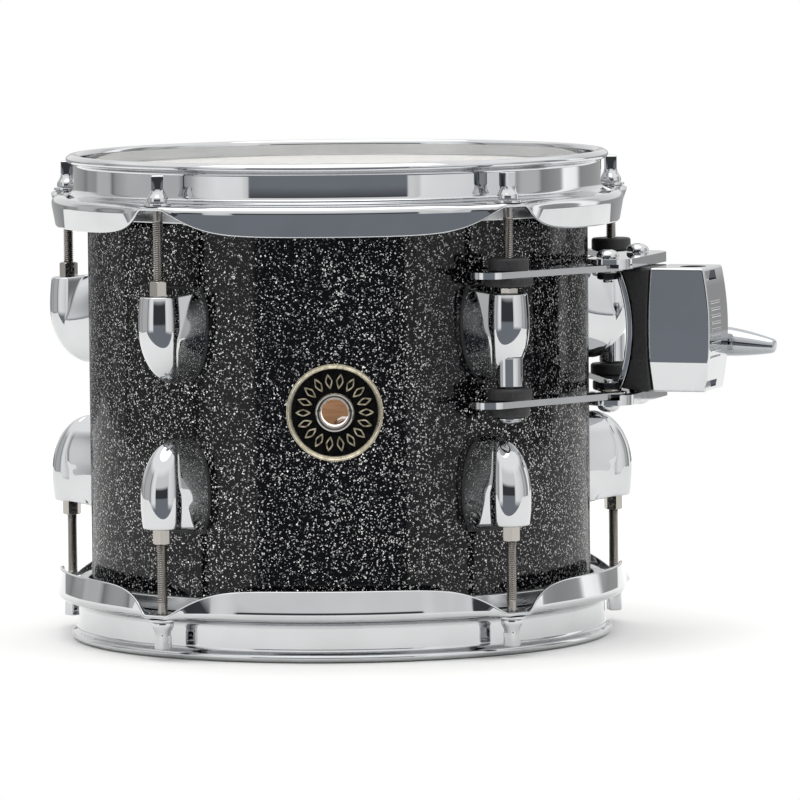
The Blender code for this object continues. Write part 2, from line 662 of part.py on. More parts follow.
def make_eyebolt():
    """The eye lies round the socket and its shank runs out through the lever's hub."""
    eye = [circle(SOCKET_RADIUS, -EYE_HALF_HEIGHT, 20), circle(EYE_RADIUS, -EYE_HALF_HEIGHT, 20),
           circle(EYE_RADIUS, EYE_HALF_HEIGHT, 20), circle(SOCKET_RADIUS, EYE_HALF_HEIGHT, 20)]
    eyebolt = add_part("clamp_eyebolt", loft("clamp_eyebolt", eye, endless=True), "nickel")
    shank_start = (SOCKET_RADIUS + EYE_RADIUS) / 2
    shank = add_cutter("eyebolt_shank", loft("eyebolt_shank", along_y(SHANK_RADIUS, shank_start, SHANK_END, 12)))
    boolean(eyebolt, shank, "UNION")
    for thing in (eyebolt, shank):
        place(thing, MOUNT_ANGLE, SOCKET_RADIUS_FROM_AXIS, MOUNT_Z + CLAMP_Z)


def make_handle():
    """A hub on the eyebolt's shank with one tapered lever."""
    start = BLOCK_HALF_WIDTH + GAP
    hub = along_y(HUB_RADIUS, start, HUB_END, 16)
    bore = along_y(HUB_BORE, HUB_END, start, 16)
    handle = add_part("clamp_handle", loft("clamp_handle", hub + bore, endless=True), "chrome")
    droop = radians(LEVER_DROOP)
    sections = ((HUB_BORE + 2.0, LEVER_ROOT_RADIUS - 0.3), (LEVER_LENGTH * 0.45, LEVER_ROOT_RADIUS * 0.86),
                (LEVER_LENGTH * 0.85, LEVER_TIP_RADIUS * 1.3), (LEVER_LENGTH, LEVER_TIP_RADIUS))
    rings = [[(reach * cos(droop) + z * sin(droop), LEVER_OFFSET + y, -reach * sin(droop) + z * cos(droop))
              for y, z, _ in circle(radius, 0.0, 12)] for reach, radius in sections]
    lever = add_cutter("lever", loft("lever", rings))
    boolean(handle, lever, "UNION")
    for thing in (handle, lever):
        place(thing, MOUNT_ANGLE, SOCKET_RADIUS_FROM_AXIS, MOUNT_Z + CLAMP_Z)


def make_mount():
    make_bracket()
    make_pad()
    make_block()
    make_eyebolt()
    make_handle()
    for station, place_name in zip(MOUNT_STATIONS, ("front", "rear")):
        offset = -BOLT_OFFSET if place_name == "front" else BOLT_OFFSET
        for level, level_name, sizes in ((1, "upper", UPPER_GROMMET), (-1, "lower", LOWER_GROMMET)):
            label = f"{level_name}_{place_name}"
            make_arm(f"arm_{label}", station, level)
            make_arm_bolt(f"arm_bolt_{label}", offset, level)
            make_grommet(f"grommet_{label}", station, level, sizes)
        make_stud(f"suspension_stud_{place_name}", station)


clear_scene()
parts = new_collection("tom_drum")
cutters = new_collection("cutters")
vent_cutter = make_vent_cutter()
ear_cutter = make_ear_cutter()
make_shell()
make_wrap()
make_badge()
make_vent_grommet()
make_head("batter", False)
make_head("resonant", True)
make_hoop("batter_hoop", 1)
make_hoop("resonant_hoop", -1)
make_tension_hardware()
make_mount()
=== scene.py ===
"""Looks of a 10 x 9 inch tom drum: fine meshes, finishes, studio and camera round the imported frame.

Lengths are in millimetres and angles in degrees; MM turns lengths into metres. A station is an
angle seen from the badge (0), positive towards +X. A shape is modelled at a station of its own:
local X points outwards, local Y towards larger angles and Z up from the drum's mid-height plane.
"""
import json
from math import atan2, cos, degrees, exp, hypot, pi, radians, sin, sqrt, tan

import bmesh
import bpy
from mathutils import Matrix, Vector


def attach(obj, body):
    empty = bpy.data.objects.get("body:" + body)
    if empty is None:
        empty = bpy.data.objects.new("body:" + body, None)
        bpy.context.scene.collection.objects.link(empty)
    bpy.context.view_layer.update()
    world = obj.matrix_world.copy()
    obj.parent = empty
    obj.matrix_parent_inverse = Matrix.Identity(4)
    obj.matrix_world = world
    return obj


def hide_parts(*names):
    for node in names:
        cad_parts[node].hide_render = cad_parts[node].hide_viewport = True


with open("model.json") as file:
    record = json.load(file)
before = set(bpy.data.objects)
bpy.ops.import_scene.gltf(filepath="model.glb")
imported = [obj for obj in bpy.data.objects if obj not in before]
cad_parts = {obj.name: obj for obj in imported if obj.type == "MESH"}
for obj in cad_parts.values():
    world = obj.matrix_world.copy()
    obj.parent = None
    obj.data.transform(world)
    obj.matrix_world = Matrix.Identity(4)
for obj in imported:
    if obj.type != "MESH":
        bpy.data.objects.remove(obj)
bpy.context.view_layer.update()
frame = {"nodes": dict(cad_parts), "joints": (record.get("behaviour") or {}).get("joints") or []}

MM = 0.001
GAP = 0.3
MERGE_DISTANCE = 0.002
SHARP_ANGLE = 35

# Shell, wrap and heads
WRAP_THICKNESS = 0.5
SHELL_THICKNESS = 6.2
FILM_THICKNESS = 0.5
ROUND_SEGMENTS = 240

# Hoops
HOOP_DEPTH = 22.9
WALL_INNER = 130.4
WALL_OUTER = 133.0
EAR_DEPTH = 20.6
EAR_HALF_ANGLE = 2.5
SCALLOP_SPREAD = 5.3
SCALLOP_POWER = 1.15
EAR_HOLE_RADIUS = 3.4
STEPS_PER_SECTOR = 76

# Tension rods, swivel nuts and lugs
KEY_HEAD_WIDTH = 6.35
KEY_HEAD_HEIGHT = 6.6
ROD_HEAD_HEIGHT = 13.6
ROD_RADIUS = 2.62
THREAD_PITCH = 1.06
THREAD_DEPTH = 0.5
THREAD_TOP = 94.3
WASHER_RADIUS = 6.95
WASHER_THICKNESS = 1.2
WASHER_BORE = 2.95
KEY_TURNS = {"batter_324": 41, "batter_108": -18, "batter_252": 12,
             "resonant_036": -20, "resonant_324": 15, "resonant_252": 30}
NUT_ACROSS_FLATS = 8.1
NUT_BORE = 2.95
LUG_LENGTH = 43.6
LUG_WIDEST_DROP = 14.9
LUG_NOSE = 9.7
LUG_TIP_SETBACK = 12.0
LUG_BARREL_HALF_WIDTH = 10.3
LUG_FOOT_HALF_WIDTH = 14.1
LUG_MOUTH_TAPERS = (1.1, 0.9, 3.4)
LUG_END_CLIMB = 2.6
LUG_FOOT_DEPTH = 18.7
LUG_CREASE_DROP = 21.0
LUG_CREASE_START = -13.2
LUG_CREASE_RUN = 11.0
LUG_CREASE_LEAN = 0.24
LUG_EDGE = 0.9
LUG_SEAT_RADIUS = 126.9
LUG_BORE_RADIUS = 5.5
LUG_BORE_DEPTH = 22.0
LUG_SCREW_DROPS = (12.0, 30.0)
GASKET_LIP = 1.1

# Badge and vent
BADGE_RADIUS = 23.9
VENT_TUBE_RADIUS = 7.6
VENT_BORE_RADIUS = 6.7
VENT_HOLE_RADIUS = 8.0
LOZENGES = 18
LOZENGE_CENTRE = 15.5
LOZENGE_LENGTH = 8.0
LOZENGE_WIDTH = 3.9
LOZENGE_SIDES = 20

# Suspension mount
MOUNT_Z = 34.85
ARM_INNER_FACE = 30.1
ARM_THICKNESS = 3.2
ARM_HALF_WIDTH = 9.5
ARM_TAIL = 13.0
ARM_HOLE_RADIUS = 6.6
BOLT_RADIUS_FROM_AXIS = 150.0
BOLT_OFFSET = 25.5
BOLT_SHANK_RADIUS = 2.5
BOLT_HOLE_RADIUS = 2.9
BOLT_HEAD_RADIUS = 5.6
BOLT_HEAD_HEIGHT = 4.0
BOLT_NUT_ACROSS_FLATS = 9.2
BOLT_NUT_HEIGHT = 4.2
ARM_WASHER_THICKNESS = 0.9
FLANGE_CENTRE_RADIUS = 152.0
FLANGE_END_OFFSET = 28.0
FLANGE_END_RADIUS = 11.8
FLANGE_THICKNESS = 2.6
FLANGE_BEVEL = 2.0
WEB_HALF_WIDTH = 15.5
WEB_THICKNESS = 3.3
WEB_SWELL = 2.4
WEB_SWELL_REACH = 5.5
LIP_DEPTH = 2.5
LIP_START = 159.3
WEB_OUTER_AT_MIDDLE = 159.3
WEB_OUTER_AT_FLANGE = 151.7
PAD_INNER = 159.6
PAD_THICKNESS = 7.8
PAD_INNER_HALF_WIDTH = 15.2
PAD_TONGUE = 29.3
PAD_GROOVE = 0.35
BLOCK_HALF_WIDTH = 17.0
BLOCK_HALF_HEIGHT = 30.8
BLOCK_OUTER_AT_ENDS = 196.4
BLOCK_CROWN = 3.2
BLOCK_BOW = 1.5
BLOCK_EDGE = 0.95
RECESS_HEIGHTS = ((24.6, 29.2), (-28.6, -25.2))
RECESS_FLOOR = 195.6
RECESS_START = -14.5
RECESS_END = 3.0
RIB_PITCH = 3.4
RIB_HALF_HEIGHT = 0.7
RIB_RISE = 0.35
RIB_START = -12.5
RIB_END = 3.5
FACET_TOP = -15.1
FACET_TILT = 10.5
SOCKET_RADIUS_FROM_AXIS = 186.5
SOCKET_RADIUS = 6.6
CLAMP_Z = -7.8
GROMMET_SIZES = {
    "upper": {"bore": 3.2, "above": (10.0, 6.2), "below": (12.0, 4.3)},
    "lower": {"bore": 3.4, "above": (11.0, 5.6), "below": (10.0, 4.9)},
}
GROMMET_NECK_RADIUS = 6.2
STUD_RADIUS = 6.45
STUD_TOP = 25.6
STUD_SHOULDER = 11.0
STUD_SHANK_RADIUS = 3.0
CAP_NUT_TOP = -3.9
CAP_NUT_HEIGHT = 3.2
CAP_NUT_RADIUS = 6.8
EYE_RADIUS = 10.4
EYE_HALF_HEIGHT = 3.8
POCKET_HALF_WIDTH = 10.9
POCKET_HALF_HEIGHT = 4.2
POCKET_BOTTOM = -13.0
EYE_SHANK_RADIUS = 3.0
EYE_SHANK_END = 38.0
HUB_RADIUS = 8.4
HUB_END = 39.5
HUB_BORE = 3.4
LEVER_OFFSET = 30.0
LEVER_LENGTH = 33.8
LEVER_DROOP = 5.0
LEVER_TIP_RADIUS = 3.0
LEVER_ROOT_RADIUS = 7.4

# Camera: seen from a distance in metres, with the lens and the turns that frame the drum
CAMERA_DISTANCE = 3.801
CAMERA_AZIMUTH = 0.664
CAMERA_ELEVATION = 4.533
CAMERA_ROLL = -0.598
CAMERA_LENS = 338.66
CAMERA_SENSOR = 36.0
CAMERA_SIDE = 0.0305
CAMERA_HEIGHT = -0.11845

# Floor: its front edge and its other sides, in metres from the drum
FLOOR_FRONT = 0.38
FLOOR_REACH = 1.2
FLOOR_SIDE = 1.2

# Finishes
PATCH_DARKNESS = 0.93
FLAKES_PER_METRE = 1350.0
FLAKE_TILT = 0.7
FLAKE_SWIRL = 1.0

# Lamps: power in watts, size and places in metres
OVERHEAD_POWER = 23.0
OVERHEAD_SIZE = 2.6
OVERHEAD_PLACE = (-0.15, -0.25, 2.2)
OVERHEAD_AIM = (0.0, 0.0, -0.1)
INSIDE_POWER = 0.055

# Brightness of the studio's walls by azimuth from the camera side, in degrees
WALL_STOPS = ((-180, 0.46), (-146, 0.38), (-141, 0.28), (-137, 0.42), (-129, 0.40), (-127, 0.62),
              (-116, 0.66), (-114, 0.25), (-111, 0.46), (-102, 0.64), (-71, 0.64), (-69, 0.18),
              (-66, 0.46), (-61, 0.95), (-52, 1.18), (-41, 1.15), (-38, 0.88), (32, 0.94), (35, 0.94),
              (36, 0.50), (37, 1.16), (58, 1.05), (76, 0.90), (86, 0.45), (88, 0.66), (99, 0.64),
              (101, 0.30), (115, 0.46), (118, 1.45), (129, 1.35), (133, 0.38), (180, 0.44))
# The dark part behind the camera: its middle and half width, in radians
FRONT_MIDDLE = -0.052
FRONT_HALF_WIDTH = 0.595
FRONT_BLEND = 0.015
FRONT_DARK = (0.055, 0.057, 0.062)
PANEL = (0.9, 0.9, 0.9)
CEILING = (1.2, 1.2, 1.2)
BELOW = (0.230, 0.248, 0.280)
# Where a direction's Z, or for the backdrop's side its Y, goes from one part into the next
FRONT_FOOT = (-0.03, -0.05)
FRONT_TOP = (0.14, 0.22)
BACKDROP_SIDE = (0.55, 0.75)
BACKDROP_FOOT = (0.02, 0.08)
CEILING_EDGE = (0.45, 0.60)
BELOW_EDGE = (-0.12, -0.18)


def span(node, direction):
    """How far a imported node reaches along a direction, in millimetres from the origin."""
    along = [direction.dot(corner.co) / MM for corner in frame["nodes"][node].data.vertices]
    return min(along), max(along)


UP = Vector((0.0, 0.0, 1.0))
RIGHT = Vector((1.0, 0.0, 0.0))
MID_Z = sum(span("shell", UP)) / 2
DRUM_RADIUS = span("wrap", RIGHT)[1]
SHELL_RADIUS = DRUM_RADIUS - WRAP_THICKNESS - GAP
INSIDE_RADIUS = SHELL_RADIUS - SHELL_THICKNESS
WRAP_HALF_HEIGHT = span("wrap", UP)[1] - MID_Z
HEAD_PLANE = span("batter_head_film", UP)[1] - MID_Z
CREST = span("batter_hoop", UP)[1] - MID_Z
ROD_FOOT, ROD_HEAD_TOP = (end - MID_Z for end in span("tension_rod_batter_036", UP))
NUT_TOP = span("swivel_nut_batter_324", UP)[1] - MID_Z
NUT_FOOT, SHORT_NUT_TOP = (end - MID_Z for end in span("swivel_nut_batter_036", UP))
LUG_FLAT_END = span("lug_batter_036", UP)[0] - MID_Z + LUG_LENGTH - 0.4
rod_axes = {joint["child"].removeprefix("tension_rod_"): Vector(joint["pos_m"]) / MM
            for joint in frame["joints"] if joint["name"].startswith("rod_turn")}
ROD_CIRCLE = hypot(rod_axes["batter_036"].x, rod_axes["batter_036"].y)
STATIONS = sorted({round(degrees(atan2(axis.x, -axis.y))) for axis in rod_axes.values()})
SECTOR = 360 / len(STATIONS)
handle_axis = next(joint["axis"] for joint in frame["joints"] if joint["name"] == "handle_turn")
MOUNT_ANGLE = degrees(atan2(handle_axis[1], handle_axis[0]))
MOUNT_STATIONS = {"front": MOUNT_ANGLE - SECTOR / 2, "rear": MOUNT_ANGLE + SECTOR / 2}
FLOOR_Z = span("resonant_hoop", UP)[0] - 0.3


# Meshes ------------------------------------------------------------------------------------

def new_object(name, data):
    made = bpy.data.objects.new(name, data)
    bpy.context.scene.collection.objects.link(made)
    return made


def smooth(mesh):
    mesh.shade_smooth()
    mesh.set_sharp_from_angle(angle=radians(SHARP_ANGLE))
    return mesh


def tidied(mesh):
    """Merge the points that coincide and turn every face outwards."""
    form = bmesh.new()
    form.from_mesh(mesh)
    bmesh.ops.remove_doubles(form, verts=form.verts, dist=MERGE_DISTANCE * MM)
    bmesh.ops.recalc_face_normals(form, faces=form.faces)
    form.to_mesh(mesh)
    form.free()
    return smooth(mesh)


def loft(name, rings, endless=False):
    """A solid through rings of equal point count; endless joins the last ring to the first."""
    count = len(rings[0])
    points = [(x * MM, y * MM, z * MM) for ring in rings for x, y, z in ring]
    faces = []
    for row in range(len(rings) if endless else len(rings) - 1):
        here = row * count
        there = (row + 1) % len(rings) * count
        for i in range(count):
            j = (i + 1) % count
            faces.append((here + i, here + j, there + j, there + i))
    if not endless:
        faces.append(tuple(range(count)))
        faces.append(tuple(range(len(points) - count, len(points))))
    mesh = bpy.data.meshes.new(name)
    mesh.from_pydata(points, [], faces)
    return tidied(mesh)


def turned(name, profile, segments=ROUND_SEGMENTS):
    """A turned solid from the closed outline of (radius, height) points of its section."""
    turn = 2 * pi / segments
    rings = [[(r * cos(i * turn), r * sin(i * turn), z) for r, z in profile]
             for i in range(segments)]
    return loft(name, rings, endless=True)


def circle(radius, height, count=48, centre=(0.0, 0.0)):
    turn = 2 * pi / count
    return [(centre[0] + radius * cos(i * turn), centre[1] + radius * sin(i * turn), height)
            for i in range(count)]


def rectangle(start_x, end_x, start_y, end_y):
    return [(start_x, start_y), (end_x, start_y), (end_x, end_y), (start_x, end_y)]


def lifted(outline, height):
    return [(x, y, height) for x, y in outline]


def circles(profile, count=48):
    """Level circles from (radius, height) pairs."""
    return [circle(radius, height, count) for radius, height in profile]


def circles_along_x(profile, count=48):
    """Circles round the X axis, from (x, radius) pairs."""
    return [[(x, y, z) for y, z, _ in circle(radius, 0.0, count)] for x, radius in profile]


def flat_circle(radius, centre, count):
    return [(x, y) for x, y, _ in circle(radius, 0.0, count, centre)]


def shaped_ring(reach, height, count=48):
    """A ring whose distance from its centre is given for each bearing, in radians."""
    turn = 2 * pi / count
    return [(reach(i * turn) * cos(i * turn), reach(i * turn) * sin(i * turn), height)
            for i in range(count)]


def hexagon_reach(bearing, across_flats):
    return across_flats / 2 / cos((bearing + pi / 6) % (pi / 3) - pi / 6)


def square_reach(bearing, width):
    """A square with rounded corners; a higher power makes them sharper."""
    power = 14
    return width / 2 / (abs(cos(bearing)) ** power + abs(sin(bearing)) ** power) ** (1 / power)


def between(start, end, share):
    return tuple(a + (b - a) * share for a, b in zip(start, end))


def towards(start, end, distance):
    """A point at a distance from start on the way to end, never past the middle."""
    length = hypot(end[0] - start[0], end[1] - start[1])
    return between(start, end, min(distance / length, 0.48) if length else 0.0)


def curve_point(start, bend, end, share):
    """A point on the curve that leaves start towards bend and arrives at end from it."""
    return between(between(start, bend, share), between(bend, end, share), share)


def soft_corner(before, corner, after, reach, steps=3):
    start = towards(corner, before, reach)
    end = towards(corner, after, reach)
    return [curve_point(start, corner, end, step / steps) for step in range(steps + 1)]


def rounded(outline, reaches, steps=3):
    """An outline with round corners; a reach is how far from its corner a curve begins."""
    soft = []
    for i, (corner, reach) in enumerate(zip(outline, reaches)):
        if reach:
            soft += soft_corner(outline[i - 1], corner, outline[(i + 1) % len(outline)], reach, steps)
        else:
            soft.append(corner)
    return soft


def evenly_rounded(outline, reach, steps=3):
    return rounded(outline, [reach] * len(outline), steps)


def inset(outline, amount):
    """A clockwise outline drawn in by an amount at right angles to itself."""
    drawn = []
    for i, (x, y) in enumerate(outline):
        before, after = outline[i - 1], outline[(i + 1) % len(outline)]
        run = (after[0] - before[0], after[1] - before[1])
        length = hypot(*run) or 1.0
        drawn.append((x + run[1] / length * amount, y - run[0] / length * amount))
    return drawn


def stadium(start, end, radius):
    """The outline of a bar with round ends between two points."""
    heading = atan2(end[1] - start[1], end[0] - start[0])
    count = 24
    outline = []
    for centre, first in ((start, heading + pi / 2), (end, heading - pi / 2)):
        for i in range(count + 1):
            bearing = first + pi * i / count
            outline.append((centre[0] + radius * cos(bearing), centre[1] + radius * sin(bearing)))
    return outline


def final_mesh(helper):
    """An object's mesh as its modifiers leave it; the object goes."""
    bpy.context.view_layer.update()
    evaluated = helper.evaluated_get(bpy.context.evaluated_depsgraph_get())
    mesh = bpy.data.meshes.new_from_object(evaluated)
    bpy.data.objects.remove(helper, do_unlink=True)
    return mesh


def baked(mesh, kind, **settings):
    """The mesh after one modifier."""
    helper = new_object("helper", mesh)
    modifier = helper.modifiers.new(kind.lower(), kind)
    for setting, value in settings.items():
        setattr(modifier, setting, value)
    return smooth(final_mesh(helper))


def combined(mesh, tool_mesh, operation="DIFFERENCE"):
    tool = new_object("tool", tool_mesh)
    result = baked(mesh, "BOOLEAN", object=tool, operation=operation, solver="MANIFOLD")
    bpy.data.objects.remove(tool, do_unlink=True)
    return result


def bevelled(mesh, width, segments=3, angle=40):
    return baked(mesh, "BEVEL", width=width * MM, segments=segments, limit_method="ANGLE",
                 angle_limit=radians(angle), harden_normals=False)


def plate(name, outlines, low, high):
    """A flat plate between two heights, from its outline and the outlines of its holes."""
    curve = bpy.data.curves.new(name, "CURVE")
    curve.dimensions = "2D"
    curve.fill_mode = "BOTH"
    curve.extrude = (high - low) / 2 * MM
    for outline in outlines:
        spline = curve.splines.new("POLY")
        spline.points.add(len(outline) - 1)
        for point, (x, y) in zip(spline.points, outline):
            point.co = (x * MM, y * MM, 0.0, 1.0)
        spline.use_cyclic_u = True
    mesh = final_mesh(new_object(name, curve))
    bpy.data.curves.remove(curve)
    mesh.transform(Matrix.Translation((0.0, 0.0, (high + low) / 2 * MM)))
    return tidied(mesh)


def box_mesh(name, low, high):
    """A box between two corners."""
    outline = rectangle(low[0], high[0], low[1], high[1])
    return loft(name, [lifted(outline, height) for height in (low[2], high[2])])


def turned_over(mesh):
    """The mirror image of a mesh in the mid-height plane."""
    mirrored = mesh.copy()
    mirrored.transform(Matrix.Diagonal((1.0, 1.0, -1.0, 1.0)))
    return tidied(mirrored)


# Finishes ----------------------------------------------------------------------------------

def feed(tree, socket, value):
    """Link a node's output to a socket, or set the socket to a number, a vector or a colour."""
    if isinstance(value, bpy.types.NodeSocket):
        tree.links.new(value, socket)
    elif socket.type == "RGBA":
        socket.default_value = (*value, 1.0)
    else:
        socket.default_value = value


def add_node(tree, kind, inputs=None, **settings):
    """A shader node with its settings made and its inputs fed, by name or by number."""
    node = tree.nodes.new("ShaderNode" + kind)
    for setting, value in settings.items():
        setattr(node, setting, value)
    for socket, value in (inputs or {}).items():
        feed(tree, node.inputs[socket], value)
    return node


def calculated(tree, operation, *values, kind="Math"):
    return add_node(tree, kind, dict(enumerate(values)), operation=operation).outputs[0]


def mixed(tree, share, first, second):
    """First where share is 0 and second where it is 1."""
    return add_node(tree, "Mix", {0: share, 6: first, 7: second}, data_type="RGBA").outputs[2]


def spread(tree, source, low, high, from_low=0.35, from_high=0.65):
    """A pattern's middle values spread over the range from low to high."""
    return add_node(tree, "MapRange", {"Value": source, "From Min": from_low, "From Max": from_high,
                                       "To Min": low, "To Max": high}).outputs["Result"]


def share_of(tree, source, *span_of_source):
    """0 where the source is at the span's start and 1 where it is at its end."""
    return spread(tree, source, 0.0, 1.0, *span_of_source)


def noise(tree, scale, detail=3.0, stretch=(1.0, 1.0, 1.0)):
    """Noise in the object's own coordinates; scale is in cells per metre."""
    place = add_node(tree, "TexCoord").outputs["Object"]
    mapping = add_node(tree, "Mapping", {"Vector": place, "Scale": stretch})
    return add_node(tree, "TexNoise", {"Vector": mapping.outputs[0], "Scale": scale,
                                       "Detail": detail}).outputs[0]


def two_tone(tree, source, dark, light):
    """A colour that goes from dark to light with a value from 0 to 1."""
    ramp = add_node(tree, "ValToRGB", {"Fac": source})
    for stop, colour in zip(ramp.color_ramp.elements, (dark, light)):
        stop.color = (*colour, 1.0)
    return ramp.outputs["Color"]


def tint(tree, shader, tone, dark, light):
    feed(tree, shader.inputs["Base Color"], two_tone(tree, tone, dark, light))


def roughen(tree, shader, source, low, high):
    feed(tree, shader.inputs["Roughness"], spread(tree, source, low, high))


def emboss(tree, shader, source, depth):
    """Relief on a surface; depth is in millimetres."""
    bump = add_node(tree, "Bump", {"Height": source, "Strength": 1.0, "Distance": depth * MM})
    feed(tree, shader.inputs["Normal"], bump.outputs["Normal"])


def new_finish(name, colour, metallic, roughness, more=None):
    """A material whose shader has these plain values, each of which a pattern may replace."""
    material = bpy.data.materials.new(name)
    material.use_nodes = True
    tree = material.node_tree
    shader = tree.nodes["Principled BSDF"]
    values = {"Base Color": colour, "Metallic": metallic, "Roughness": roughness, **(more or {})}
    for socket, value in values.items():
        feed(tree, shader.inputs[socket], value)
    return material, tree, shader


def plated_metal(name, colour, smoothness, waves, wave_scale=60):
    """Polished metal: roughness drifts between two values and the surface is faintly wavy."""
    material, tree, shader = new_finish(name, colour, 1.0, smoothness[0])
    roughen(tree, shader, noise(tree, 90, 5.0), *smoothness)
    darker = tuple(channel * PATCH_DARKNESS for channel in colour)
    tint(tree, shader, share_of(tree, noise(tree, 35, 2.0)), darker, colour)
    emboss(tree, shader, noise(tree, wave_scale, 1.0), waves)
    return material


def sparkle_finish():
    """Black lacquer full of silver flakes that lie at all angles, under a clear coat."""
    material, tree, shader = new_finish("sparkle_wrap", (0.012, 0.012, 0.014), 0.0, 0.3, {
        "Coat Weight": 0.42, "Coat Roughness": 0.06, "Specular IOR Level": 0.0})
    place = add_node(tree, "TexCoord").outputs["Object"]
    bend = add_node(tree, "TexNoise", {"Vector": place, "Scale": 700.0, "Detail": 2.0})
    swirl = calculated(tree, "MULTIPLY_ADD", bend.outputs["Color"], (FLAKE_SWIRL * MM,) * 3, place,
                       kind="VectorMath")
    pattern = {"Vector": swirl, "Scale": FLAKES_PER_METRE}
    cells = add_node(tree, "TexVoronoi", pattern).outputs["Color"]
    edges = add_node(tree, "TexVoronoi", pattern, feature="DISTANCE_TO_EDGE").outputs["Distance"]
    pick = add_node(tree, "SeparateColor", {"Color": cells})
    flake = calculated(tree, "MULTIPLY", share_of(tree, pick.outputs["Red"], 0.70, 0.73),
                       share_of(tree, edges, 0.10, 0.16))
    bright = two_tone(tree, pick.outputs["Green"], (0.03, 0.03, 0.035), (1.0, 1.0, 0.98))
    feed(tree, shader.inputs["Base Color"], mixed(tree, flake, (0.003, 0.003, 0.004), bright))
    feed(tree, shader.inputs["Metallic"], flake)
    centred = calculated(tree, "SUBTRACT", cells, (0.5,) * 3, kind="VectorMath")
    surface = add_node(tree, "NewGeometry").outputs["Normal"]
    leaning = calculated(tree, "MULTIPLY_ADD", centred, (FLAKE_TILT,) * 3, surface,
                         kind="VectorMath")
    feed(tree, shader.inputs["Normal"], calculated(tree, "NORMALIZE", leaning, kind="VectorMath"))
    return material


def maple_finish():
    """Maple veneer with its grain lying round the shell."""
    material, tree, shader = new_finish("maple", (0.55, 0.30, 0.15), 0.0, 0.45)
    grain = noise(tree, 60, 6.0, (1.0, 1.0, 14.0))
    tint(tree, shader, share_of(tree, grain, 0.3, 0.7), (0.62, 0.36, 0.19), (0.86, 0.60, 0.38))
    roughen(tree, shader, grain, 0.38, 0.55)
    emboss(tree, shader, grain, 0.02)
    return material


def film_finish():
    """White head film with a finely sprayed, slightly translucent coating."""
    material, tree, shader = new_finish("coated_film", (0.90, 0.90, 0.88), 0.0, 0.55, {
        "Transmission Weight": 0.6, "IOR": 1.3})
    tint(tree, shader, share_of(tree, noise(tree, 240, 5.0)), (0.86, 0.86, 0.84), (0.93, 0.935, 0.92))
    emboss(tree, shader, noise(tree, 2600, 2.0), 0.05)
    return material


def matt_finish(name, dark, light, roughness, grain_scale, depth, gloss=0.5):
    """Rubber, enamel and other surfaces without metal, mottled between two greys."""
    material, tree, shader = new_finish(name, light, 0.0, roughness[0], {"Specular IOR Level": gloss})
    grain = noise(tree, grain_scale, 4.0)
    tint(tree, shader, share_of(tree, grain), dark, light)
    roughen(tree, shader, grain, *roughness)
    emboss(tree, shader, noise(tree, grain_scale * 2, 2.0), depth)
    return material


def brass_finish(name, dark, light):
    """Brass with patina left in its dull patches."""
    material, tree, shader = new_finish(name, light, 1.0, 0.3)
    patches = noise(tree, 420, 5.0)
    tint(tree, shader, share_of(tree, patches, 0.38, 0.62), dark, light)
    roughen(tree, shader, patches, 0.42, 0.2)
    emboss(tree, shader, patches, 0.03)
    return material


METALS = {
    "chrome": ((0.60, 0.61, 0.62), (0.01, 0.04), 0.006),
    "cast_chrome": ((0.42, 0.44, 0.46), (0.04, 0.10), 0.01),
    "nickel": ((0.42, 0.40, 0.37), (0.05, 0.11), 0.004, 300),
    "thread_steel": ((0.36, 0.34, 0.32), (0.16, 0.3), 0.01, 900),
    "black_oxide": ((0.05, 0.05, 0.055), (0.2, 0.35), 0.01, 600),
    "aluminium": ((0.60, 0.61, 0.62), (0.25, 0.42), 0.02, 500),
}
finishes = {name: plated_metal(name, *looks) for name, looks in METALS.items()}
finishes |= {
    "antique_brass": brass_finish("antique_brass", (0.17, 0.15, 0.10), (0.42, 0.38, 0.28)),
    "pale_brass": brass_finish("pale_brass", (0.50, 0.45, 0.33), (0.78, 0.72, 0.55)),
    "enamel": matt_finish("enamel", (0.0015,) * 3, (0.004,) * 3, (0.2, 0.35), 500, 0.02, 0.1),
    "rubber": matt_finish("rubber", (0.012, 0.012, 0.013), (0.03, 0.03, 0.032), (0.45, 0.65), 900, 0.04),
    "coated_film": film_finish(),
    "maple": maple_finish(),
    "sparkle_wrap": sparkle_finish(),
}


# Pieces ------------------------------------------------------------------------------------

def finish_above(mesh, height, finish):
    """Give the faces above a height, in the mesh's own millimetres, a second finish."""
    mesh.materials.append(finishes[finish])
    for face in mesh.polygons:
        if face.center.z > height * MM:
            face.material_index = 1


def add_piece(name, mesh, finish, body="root", angle=0.0, radius=0.0, height=0.0,
              upside_down=False):
    """Put a mesh at a station and let it ride on a body. A piece visual_NODE stands for NODE."""
    piece = new_object(name, mesh)
    across = radians(angle)
    piece.location = (radius * sin(across) * MM, -radius * cos(across) * MM, (MID_Z + height) * MM)
    piece.rotation_euler = (pi if upside_down else 0.0, 0.0, across - pi / 2)
    if not any(mesh.materials):
        mesh.materials.clear()
        mesh.materials.append(finishes[finish])
    shading = piece.modifiers.new("even_shading", "WEIGHTED_NORMAL")
    shading.keep_sharp = True
    stands_for = name.removeprefix("visual_")
    if stands_for != name:
        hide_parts(stands_for)
    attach(piece, body)


def on_drum(radius, across, height):
    """A point at a distance across the front, measured round a cylinder of that radius."""
    bearing = across / radius
    return radius * cos(bearing), radius * sin(bearing), height


